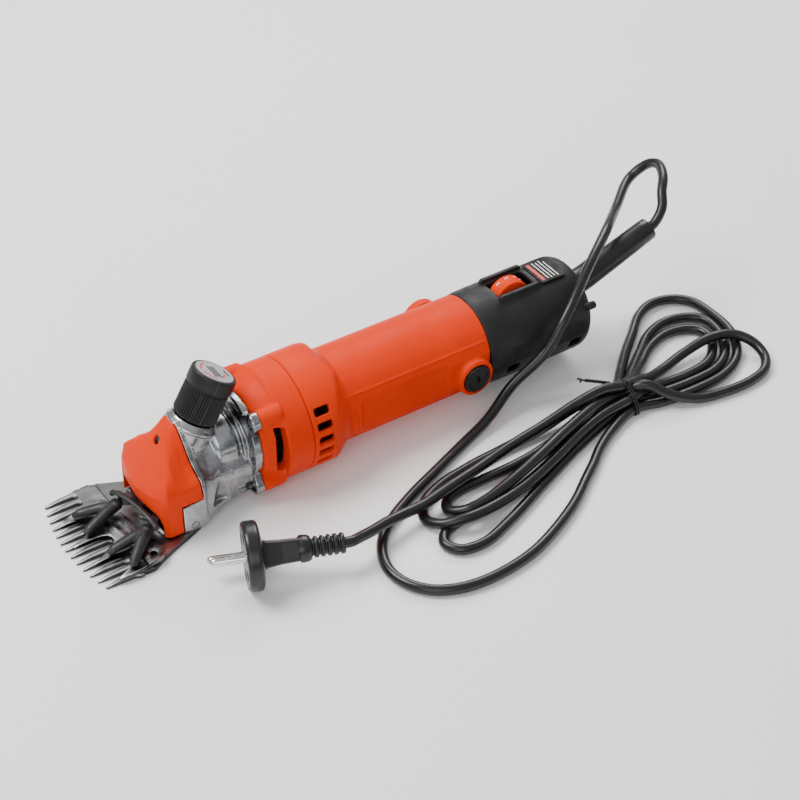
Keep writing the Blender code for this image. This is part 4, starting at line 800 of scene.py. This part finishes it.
def build_gear_head():
    scaled = [(y * 0.95, z * 0.93 if z > 0 else z) for y, z in JOINT]
    neck = [(0, 11), (8, 10), (12, 7.4), (15, 3.6), (16.8, 0), (18.2, -3), (19.8, -6.2), (20.8, -10)]
    sections = [
        (52, HEAD_LOW, JOINT), (67.6, HEAD_LOW, JOINT), (69.2, HEAD_LOW + 0.4, scaled),
        (74, -27.8, [(0, 17), (6, 16.5), (9, 14.4), (12, 10.4), (15, 5.6), (18.5, 1.6), (22, -1.5),
                     (23.6, -4.5), (24, -8)]),
        (80, -26.4, [(0, 12.5), (7, 12), (11, 9.8), (14, 6.6), (16.8, 2.6), (19, -1.4), (20.9, -5),
                     (21.8, -9)]),
        (88, -25.4, neck), (100, -25.4, neck)]
    head = solid(rings(half_sections(sections)))
    cut(head, block((-20, -60, -11.8), (66.6, 60, 90), turn_about((66.6, 0, -12.0), -5.0, "Y")))
    cut(head, block((30, -60, -60), (53.7, 60, 90)))
    bed = [(43, -21), (56, -23), (56, 23), (43, 21)] + arc((43, 0), 4, 120, 240, 9)
    collar = [(-18, 12.6), (-7.0, 13.4), (-4.6, 13.6), (-4.2, 14.4), (-3.0, 14.4), (-2.4, 13.6),
              (0.3, 11.9)]
    boss = [(80, 13.5), (81.4, 16.2), (83.2, 17.5), (93.6, 17.5), (94.0, 16.4), (96.0, 16.4), (96.4, 19),
            (99, 19), (99.2, 25.2), (99.8, 26.2), (103.6, 26.2)]
    join(head, solid(slab(bed, HEAD_LOW, HEAD_LOW + 3.6)), solid(turned(KNOB_BASE, KNOB_AXIS, collar, 64)),
         solid(turned((0, 0, 0), X, boss, 72)))
    for ear in ears():
        inward = Vector((0, -ear.y, -ear.z)).normalized()
        join(head, solid(turned(ear + X * 98.9, X, [(0, 5.1), (0.5, 5.6), (4.7, 5.6)], 40)))
        wedge = [ear + inward * 8 + Vector((0, s * inward.z, -s * inward.y)) for s in (7.4, -7.4)]
        tip = [ear + Vector((0, s * inward.z, -s * inward.y)) for s in (-5.4, 5.4)]
        outline = [(p.y, p.z) for p in wedge + tip]
        join(head, solid(slab(outline, 99.3, 103.6, "yz")))
    for side in (1, -1):
        flute = [(0, 3.7), (9, 5.6), (16.5, 6.6)]
        cut(head, turned((80.0, side * 25.8, -6.6), Vector((-0.06, 0, -1)), flute, 48))
        cut(head, turned((88.3, side * 20.1, -3.6), Y * side, [(0, 2.0), (8, 2.0)], 32))
    cavity = [(40, 21.5, -4, 5, 10), (62, 21.0, -4, 4, 13), (74, 18.2, -4, 7, 9.6), (86, 17, -2.5, 7, 7.4),
              (93, 16.6, -2.5, 7, 7.4)]
    lows = (HEAD_LOW + 3.6, HEAD_LOW + 3.6, -24.6, -23.4, -23.0)
    hollow = []
    for (x, half, shoulder, ridge_half, ridge), low in zip(cavity, lows):
        right = [(half - 1.5, low), (half, low + 1.5), (half, shoulder - 2.5), (half - 1, shoulder),
                 (ridge_half + 2, ridge - 1.2), (ridge_half - 2, ridge)]
        ring = [Vector((x, -y, z)) for y, z in right] + [Vector((x, y, z)) for y, z in reversed(right)]
        hollow.append(ring)
    cut(head, rings(hollow))
    cut(head, turned((92, 0, CRANK_Z), X, [(0, 6.9), (20, 6.9)], 40))
    cut(head, turned(KNOB_BASE, KNOB_AXIS, [(-30, 5.3), (-3.2, 5.3), (-3.2, 7.4), (6, 7.4)], 40))
    melt(head, 0.5, 4)
    bores = []
    for side in (1, -1):
        bores.append(turned((57.5, side * 13.0, HEAD_LOW - 2), Z, [(0, 2.2), (8, 2.2)], 24))
        rim = [(0, 2.4), (8, 2.4), (8, 1.8), (0, 1.8)]
        bores.append(turned((60.2, side * 25.35, -27.6), Y * side, rim, 40, True))
    for ear in ears():
        bores.append(turned(ear + X * 90, X, [(0, 3.9), (11.6, 3.9), (11.6, 2.4), (20, 2.4)], 32))
    cut(head, *bores)
    publish(head, "gear_case", "cast_aluminium", ["gear_head"], 50)


# ---- tension knob

def build_knob():
    count, ribs = 500, 50
    side, up = basis(KNOB_AXIS)

    def ring(along, radius, depth=0.0):
        made = []
        for i in range(count):
            a = 2 * math.pi * i / count
            groove = max(0.0, math.cos(ribs * a)) ** 0.6 if depth else 0.0
            r = radius - depth * groove
            made.append(KNOB_BASE + KNOB_AXIS * along + side * (r * math.cos(a)) + up * (r * math.sin(a)))
        return made

    made = [ring(1.2, 7.4), ring(1.2, 11.6), ring(1.6, 12.0), ring(2.3, 12.5, 0.45), ring(2.8, 12.6, 0.6),
            ring(18.0, 12.6, 0.6), ring(18.5, 12.5, 0.45), ring(18.9, 11.7), ring(19.8, 11.6),
            ring(20.0, 12.2), ring(20.4, 12.8), ring(21.0, 13.0), ring(26.4, 13.0), ring(27.5, 12.9),
            ring(28.2, 12.6), ring(28.6, 12.1), ring(28.6, 11.6), ring(28.4, 11.5), ring(27.8, 11.4),
            ring(27.8, 4.0), ring(20.4, 4.0), ring(20.4, 7.4)]
    publish(solid(rings(made, True)), "tension_wheel", "black_plastic", ["tension_knob"], 40, "knob")
    badge = [(22.0, 3.6), (28.1, 3.6), (28.1, 10.8), (28.2, 11.0), (28.7, 11.0), (28.9, 10.7), (28.9, 9.9),
             (28.7, 9.7)]
    disc = solid(turned(KNOB_BASE, KNOB_AXIS, badge, 96))
    publish(disc, "knob_disc", "grey_plate", ["knob_badge"], 30, "knob")

    low, high = [KNOB_BASE + KNOB_AXIS * along for along in (28.66, 28.86)]

    def mark(radius, start, end, wide):
        made = []
        for k in range(17):
            a = math.radians(start + (end - start) * k / 16)
            spoke = side * math.cos(a) + up * math.sin(a)
            near, far = spoke * (radius - wide), spoke * (radius + wide)
            made.append([low + near, high + near, high + far, low + far])
        return rings(made)

    def dash(x, y, half, wide):
        corners = [side * (x + a * half) + up * (y + b * wide)
                   for a, b in ((-1, -1), (1, -1), (1, 1), (-1, 1))]
        return rings([[face + corner for corner in corners] for face in (low, high)])

    red = solid(mark(8.2, 20, 80, 0.5), mark(8.2, 100, 160, 0.5), mark(5.6, 200, 250, 0.45))
    publish(red, "knob_arrows", "orange_plastic", body="knob", look="red_ink")
    dark = solid(dash(0, 2.2, 5.4, 0.5), dash(0, 0.4, 5.0, 0.5), dash(0, -1.4, 5.4, 0.5),
                 dash(0.0, -7.6, 3.0, 0.45))
    publish(dark, "knob_marks", "black_plastic", body="knob", look="dark_ink")


# ---- front ring and motor housing

def build_front_ring():
    start = 103.9
    outside = [(start, 26.2), (start + 0.5, 27.0), (110, 29.7), (115.4, 32.2), (116.4, 33.2), (117.4, 33.9),
               (131.6, 33.9), (132.1, 33.5)]
    ring = solid(turned((0, 0, 0), X, outside, 128))
    for ear in ears():
        join(ring, solid(turned(ear + X * start, X, [(0, 4.8), (0.6, 5.5), (12.5, 5.5), (14, 5.0)], 40)))
    cut(ring, turned((0, 0, 0), X, [(start - 1, 25), (117.1, 25), (117.1, 31), (133.1, 31)], 96))
    for side in (1, -1):
        cut(ring, beside(side, (90, 28.2, -15.5), (116.4, 40, 15.5)))
        cut(ring, beside(side, (111.2, 15, -12.4), (116.6, 40, 16.4)))
    cut(ring, *[turned(ear + X * 90, X, [(0, 2.3), (25, 2.3)], 24) for ear in ears()])
    melt(ring, 0.5, 5)
    publish(ring, "front_collar", "orange_plastic", ["front_ring"], 180)


BULGE_END = [(0, 150), (29, 153.4), (52, 149.7), (81, 146), (90, 145.5), (99, 146), (128, 149.7),
             (151, 153.4), (180, 150)]


def bulge_end(angle):
    angle = abs(angle) % 360
    angle = 360 - angle if angle > 180 else angle
    for (a, x), (b, y) in zip(BULGE_END, BULGE_END[1:]):
        if angle <= b:
            share = (angle - a) / (b - a)
            return x + (y - x) * share
    return BULGE_END[-1][1]


def build_motor_housing():
    count, start = 144, 132.4
    made = [[] for _ in range(9)]
    for i in range(count):
        degrees = 360 * i / count
        a = math.radians(degrees)
        edge = bulge_end(degrees)
        spots = [(start, 33.5), (start + 0.5, 34.0), (edge - 0.8, 34.0), (edge + 0.8, 33.8),
                 (edge + 3.0, 32.6), (edge + (159 - edge) * 0.72, 29.6), (159.5, 27.7), (163, 27.5),
                 (254, 27.4)]
        for ring, (x, r) in zip(made, spots):
            ring.append(Vector((x, r * math.sin(a), r * math.cos(a))))
    housing = solid(rings(made))
    for side in (1, -1):
        cut(housing, beside(side, (172, 26.2, -30), (270, 40, 30)))
    for side in (1, -1):
        boss = [(0, 11.6), (4.3, 11.6), (4.9, 11.3), (5.0, 10.5), (5.7, 10.3)]
        join(housing, solid(turned((BRUSH_X, side * 25.2, side * BRUSH_Z), Y * side, boss, 64)))
        lean = math.radians(58)
        for height in (1, -1):
            bead = Vector((154.5, side * 27.15 * math.sin(lean), 27.15 * math.cos(lean) * height))
            join(housing, solid(rings(swept([bead + X * 1, bead + X * 2, bead + X * 98, bead + X * 99],
                                            [(0.3, 0.3), (0.8, 0.8), (0.8, 0.8), (0.3, 0.3)], 12))))
    bore = [(start - 1, 31.2), (144, 31.2), (146.5, 30.0), (157, 24.3), (255, 24.3)]
    cut(housing, turned((0, 0, 0), X, bore, 96))
    for side in (1, -1):
        cut(housing, pressed(side, [(196 + x, z - 0.6) for x, z in tablet(58, 22, 2.0)], 25.2, 40))
        step = [(158.6, 10.0), (165.0, 10.4), (165.0, -11.4), (158.6, -11.0)]
        cut(housing, pressed(side, step, 26.0, 40))
        cap_hole = [(0, 5.3), (8.8, 5.3), (8.8, 9.1), (20, 9.1)]
        cut(housing, turned((BRUSH_X, side * 20, side * BRUSH_Z), Y * side, cap_hole, 48))
        slots = []
        for i in range(5):
            turn = Matrix.Rotation(math.radians(side * -(58 + 15 * i)), 4, "X")
            outline = [(139.9 + x, y) for x, y in tablet(9.6, 5.0, 1.3)]
            slots.append(slab(outline, 26, 40, "xy", turn))
        cut(housing, *slots)
    melt(housing, 0.5, 2)
    publish(housing, "motor_shell", "orange_plastic", ["motor_housing"], 180)


def build_brush_caps():
    for name, side in SIDES:
        profile = [(0, 5.0), (2.9, 5.0), (2.9, 8.5), (4.9, 8.5), (5.5, 8.2), (5.7, 7.7), (5.7, 6.9),
                   (5.2, 6.6), (5.2, 5.9), (5.7, 5.6)]
        height = side * BRUSH_Z
        cap = solid(turned((BRUSH_X, side * 26.2, height), Y * side, profile, 64))
        cut(cap, beside(side, (BRUSH_X - 2.8, 30.6, height - 0.9), (BRUSH_X + 2.8, 36, height + 0.9),
                        turn_about((BRUSH_X, 0, height), 80, "Y")))
        soften(cap, 0.2, 50, 1)
        publish(cap, f"brush_plug_{name}", "black_plastic", [f"brush_cap_{name}"], 30)


# ---- rear housing and controls

def build_rear_housing():
    start = 254.3
    axis = (0, 0, -0.8)
    outside = [(start, 27.5), (start + 0.5, 28.0), (258, 28.5), (266, 28.8), (321, 28.8), (323.6, 28.4),
               (325.8, 27.4), (327.0, 26.2), (327.5, 25.0)]
    housing = solid(turned(axis, X, outside, 144))
    for side in (1, -1):
        cut(housing, beside(side, (268, 28.2, -40), (320, 40, 40)))
        corners = arc((12.5, 27.6), 2.0, 0, 90, 7) + arc((-12.5, 27.6), 2.0, 90, 180, 7)
        guard = [(300, 20)] + [(x + 285.5, z) for x, z in corners] + [(271, 20)]
        join(housing, solid(pressed(side, guard, 8.6, 11.2)))
    bore = turned(axis, X, [(start - 1, 25.1), (266, 26.2), (320.5, 26.2), (324.9, 24.0)], 96)
    cut(housing, bore)
    cut(housing, block((273, -7.4, 20), (298, 7.4, 40)))
    cut(housing, turned((310, 2, 6), X, [(0, 6.4), (30, 6.4)], 40))
    cut(housing, block((310, -22.5, -4), (340, -8.5, 9)))
    for x in (270.6, 315.6):
        for side in (1, -1):
            outline = [(x + dx, -10.6 + dz) for dx, dz in tablet(8.6, 6.4, 1.2)]
            cut(housing, pressed(side, outline, 20, 40))
    cut(housing, block((301.2, -11, 27), (319.4, 11, 40)))
    nub = solid(turned((322, -26.6, 11.6), X, [(0, 2.4), (6.2, 2.4), (6.8, 1.8)], 24))
    join(housing, nub)
    cut(housing, bore)
    melt(housing, 0.5, 4)
    publish(housing, "rear_shell", "black_plastic", ["rear_housing"], 180)


def build_controls():
    center = Vector((284.8, 0, 19.0))
    count, ribs = 360, 60

    def ring(along, radius, depth=0.0):
        made = []
        for i in range(count):
            a = 2 * math.pi * i / count
            r = radius - depth * max(0.0, math.cos(ribs * a))
            made.append(center + Vector((r * math.cos(a), along, r * math.sin(a))))
        return made

    made = [ring(-4.5, 1.9), ring(-4.5, 10.9), ring(-4.3, 11.4), ring(-3.8, 11.8, 0.3),
            ring(-1.2, 11.8, 0.4), ring(-0.9, 11.8), ring(3.8, 11.8), ring(4.3, 11.4), ring(4.5, 10.9),
            ring(4.5, 1.9)]
    publish(solid(rings(made, True)), "dial_wheel", "orange_plastic", ["speed_dial"], 40, "dial")
    for i, digit in enumerate("123456"):
        curve = bpy.data.curves.new("digit", "FONT")
        curve.body = digit
        curve.size = 3.4
        curve.extrude = 0.12
        curve.align_x, curve.align_y = "CENTER", "CENTER"
        text = place("digit", curve)
        bpy.context.view_layer.update()
        mesh = bpy.data.meshes.new_from_object(text.evaluated_get(bpy.context.evaluated_depsgraph_get()))
        bpy.data.objects.remove(text)
        shape = place("digit", mesh)
        around = Matrix.Rotation(math.radians(-62 + 30 * i), 4, "Y")
        turn = Matrix.Rotation(math.pi / 2, 4, "Z")
        lift = Matrix.Translation((0, 1.5, 11.78))
        shape.data.transform(Matrix.Translation(center) @ around @ lift @ turn)
        publish(shape, f"dial_number_{digit}", "grey_plate", sharp=30, body="dial", look="white_ink")
    corners = [(0, -10.6), (15.8, -10.6), (16.6, -9.8), (16.6, 9.8), (15.8, 10.6), (0, 10.6), (-0.8, 9.8),
               (-0.8, -9.8)]
    label = solid(slab([(301.6 + 0.8 + x, y) for x, y in corners], 27.3, 27.9))
    publish(soften(label, 0.12, 40, 1), "label_plate", "label", ["rating_plate"], 30)
    top = 27.88
    lines = ((307.2, -8.6, 8.4), (309.5, -9.0, 7.6), (311.8, -8.4, 8.6), (314.1, -9.0, 6.4))
    bars = [block((x, start, top), (x + 0.65, end, top + 0.12)) for x, start, end in lines]
    publish(solid(*bars), "label_bars", "grey_plate", sharp=30, look="white_ink")
    red = solid(block((303.2, -8.8, top), (305.3, 8.4, top + 0.12)))
    publish(red, "label_red_bar", "orange_plastic", sharp=30, look="red_ink")
    low_y, high_y, middle = -20.5, -10.5, 2.5
    profile = [(323.0, 0.0), (325.0, -2.6), (328.2, -4.3), (331.2, -4.3), (331.5, -3.9), (329.5, -0.4),
               (329.2, 0.6), (329.1, 3.9), (328.7, 4.3), (326.0, 4.3), (324.4, 2.6)]
    rocker = solid(slab([(x, middle + z) for x, z in profile], low_y, high_y, "xz"))
    soften(rocker, 0.3, 35, 2)
    publish(rocker, "rocker_key", "black_plastic", ["switch_rocker"], 30, "rocker")


def guard_line():
    knee = GUARD_END - GUARD_AXIS * ((GUARD_END.z - 6.0) / GUARD_AXIS.z)
    reach = 9.0
    start = knee - X * reach
    points = []
    for k in range(13):
        t = k / 12
        points.append(start.lerp(knee, t).lerp(knee.lerp(knee + GUARD_AXIS * reach, t), t))
    return points


def build_guard():
    bend = guard_line()
    line = [Vector((x, 2, 6)) for x in (318.9, 324.4, 324.5, 328.2, 328.25, 330.6, 331.6)]
    sizes = [9.0, 9.0, 5.9, 5.9, 9.2, 9.2, 8.0]
    last = bend[-1]
    tail = []
    for k in range(1, 9):
        tail.append(last.lerp(GUARD_END, k / 9))
    soft = [p for p in bend if p.x > 332.4]
    line += soft + tail + [GUARD_END - GUARD_AXIS * 0.6, GUARD_END]
    total = (GUARD_END - soft[0]).length
    sizes += [8.0 - 1.0 * min((p - soft[0]).length / total, 1.0) for p in soft + tail] + [7.0, 6.6]
    sleeve = solid(rings(swept(line, [(r, r) for r in sizes], 64, (0, 1, 0))))
    core = [Vector((315, 2, 6)), bend[0]] + bend[1:] + tail + [GUARD_END + GUARD_AXIS * 3]
    cut(sleeve, rings(swept(core, [(3.35, 3.35)] * len(core), 40, (0, 1, 0))))
    cut(sleeve, turned(GUARD_END - GUARD_AXIS * 1.2, GUARD_AXIS, [(0, 4.8), (4, 5.0)], 40))
    publish(sleeve, "cord_sleeve", "rubber", ["cord_guard"], 45)
    return sleeve


# ---- plug

def build_plug():
    profile = [(0, 4.6), (0.4, 5.4)]
    for i in range(5):
        start = 0.6 + i * 3.5
        profile += [(start, 5.7), (start + 1.9, 5.8), (start + 2.2, 4.5), (start + 3.3, 4.5)]
    profile += [(18.3, 6.4), (20.0, 7.2), (22.4, 7.5), (24.2, 7.4), (24.8, 6.0), (42.6, 6.4), (43.6, 9.4),
                (44.4, 15.8), (45.2, 18.2), (46.4, 18.9), (51.4, 18.9), (52.6, 18.5), (53.2, 17.6)]
    plug = solid(turned(PLUG_REAR, PLUG_AXIS, profile, 96))
    back = Vector((-0.427, -0.645, 0.634))
    pin_line = (back - PLUG_AXIS * back.dot(PLUG_AXIS)).normalized()
    cross_line = PLUG_AXIS.cross(pin_line)
    grip = []
    for along, half in ((24.9, 6.3), (34.0, 6.6), (42.0, 7.4), (44.6, 8.8)):
        spot = PLUG_REAR + PLUG_AXIS * along
        grip.append([spot + pin_line * a + cross_line * b for a, b in tablet(2.3 * half, 1.9 * half, 1.6)])
    join(plug, solid(rings(grip)))
    pieces = []
    for name, side in SIDES:
        notch = PLUG_REAR + PLUG_AXIS * 43.0 + cross_line * (side * 18.6)
        cut(plug, turned(notch, PLUG_AXIS, [(0, 2.6), (14, 2.6)], 32))
    for a, b in ((9.5, 7.0), (-9.5, 7.0), (9.5, -7.0), (-9.5, -7.0)):
        pocket = PLUG_REAR + PLUG_AXIS * 51.8 + cross_line * a + pin_line * b
        cut(plug, turned(pocket, PLUG_AXIS, [(0, 3.0), (6, 3.0)], 32))
    melt(plug, 0.42, 3)
    for name, side in SIDES:
        base = PLUG_REAR + PLUG_AXIS * 45.0 + pin_line * (side * 9.5)
        cut(plug, turned(base, PLUG_AXIS, [(0, 2.7), (20, 2.7)], 32))
        pin = [(0.3, 2.4), (24.2, 2.4), (25.4, 2.25), (26.4, 1.8), (27.0, 1.1), (27.2, 0.5)]
        prong = solid(turned(base, PLUG_AXIS, pin, 48))
        pieces.append(publish(prong, f"plug_prong_{name}", "bright_steel", [f"plug_pin_{name}"], 30))
    cut(plug, turned(PLUG_REAR - PLUG_AXIS * 2, PLUG_AXIS, [(0, 3.3), (5, 3.3)], 40))
    pieces.append(publish(plug, "plug_moulding", "rubber", ["plug_body"], 40))
    return pieces


# ---- carried-over pieces, stage and light

NODE_PAINT = {"armature_windings": "wound", "stator_windings": "wound", "fork": "dark",
              "cover_screw": "dark", **{f"flange_screw_{i}": "dark" for i in range(1, 5)}}


def paint_nodes():
    slots = {entry["node"]: entry["material_slot"] for entry in frame["record"]["subparts"]}
    for name, obj in frame["nodes"].items():
        key = NODE_PAINT.get(name, SLOT_PAINT.get(slots.get(name), "black"))
        obj.data.materials.clear()
        obj.data.materials.append(PAINTS[key])


def build_stage():
    bm = bmesh.new()
    far = 3.0
    add = [bm.verts.new(p) for p in ((-far, -far, 0), (far, -far, 0), (far, far, 0), (-far, far, 0))]
    bm.faces.new(add)
    mesh = bpy.data.meshes.new("floor")
    bm.to_mesh(mesh)
    bm.free()
    floor = place("floor", mesh)
    floor.location.z = -0.0002
    mesh.materials.append(finish("pale_paper", grey(0.93), 0.9, 0.0, ((3.0,), grey(0.92), grey(0.94))))
    sky = bpy.data.worlds.new("studio")
    sky.use_nodes = True
    back = sky.node_tree.nodes["Background"]
    back.inputs["Strength"].default_value = 0.66
    tree = sky.node_tree
    split = tree.nodes.new("ShaderNodeSeparateXYZ")
    ramp = tree.nodes.new("ShaderNodeValToRGB")
    ramp.color_ramp.elements[0].position = 0.02
    ramp.color_ramp.elements[0].color = (0.40, 0.40, 0.405, 1.0)
    ramp.color_ramp.elements[1].position = 0.55
    ramp.color_ramp.elements[1].color = (1.0, 1.0, 0.99, 1.0)
    tree.links.new(tree.nodes.new("ShaderNodeTexCoord").outputs["Generated"], split.inputs["Vector"])
    tree.links.new(split.outputs["Z"], ramp.inputs["Fac"])
    tree.links.new(ramp.outputs["Color"], back.inputs["Color"])
    bpy.context.scene.world = sky
    for name, spot, size, power, color in (
            ("key", (-0.55, 0.45, 1.25), 0.8, 22.0, (1.0, 0.99, 0.97)),
            ("fill", (-0.9, -1.1, 0.9), 1.2, 9.0, (0.96, 0.98, 1.0)),
            ("back", (0.75, 0.8, 1.0), 0.8, 13.0, (1.0, 1.0, 1.0))):
        light = bpy.data.lights.new(name, "AREA")
        light.shape = "DISK"
        light.size = size
        light.energy = power
        light.color = color
        lamp = place(name, light)
        lamp.location = spot
        lamp.rotation_euler = (-Vector(spot)).to_track_quat("-Z", "Y").to_euler()


# ---- the whole scene

build_camera()
paint_nodes()
mains_cord, cord_exit, cord_length = build_cord()
tie_wire = build_tie()
sleeve_piece = build_guard()
plug_pieces = build_plug()
build_comb()
build_cutter()
build_yokes()
build_strap()
build_hood()
build_gear_head()
build_knob()
build_front_ring()
build_motor_housing()
build_brush_caps()
build_rear_housing()
build_controls()
build_stage()
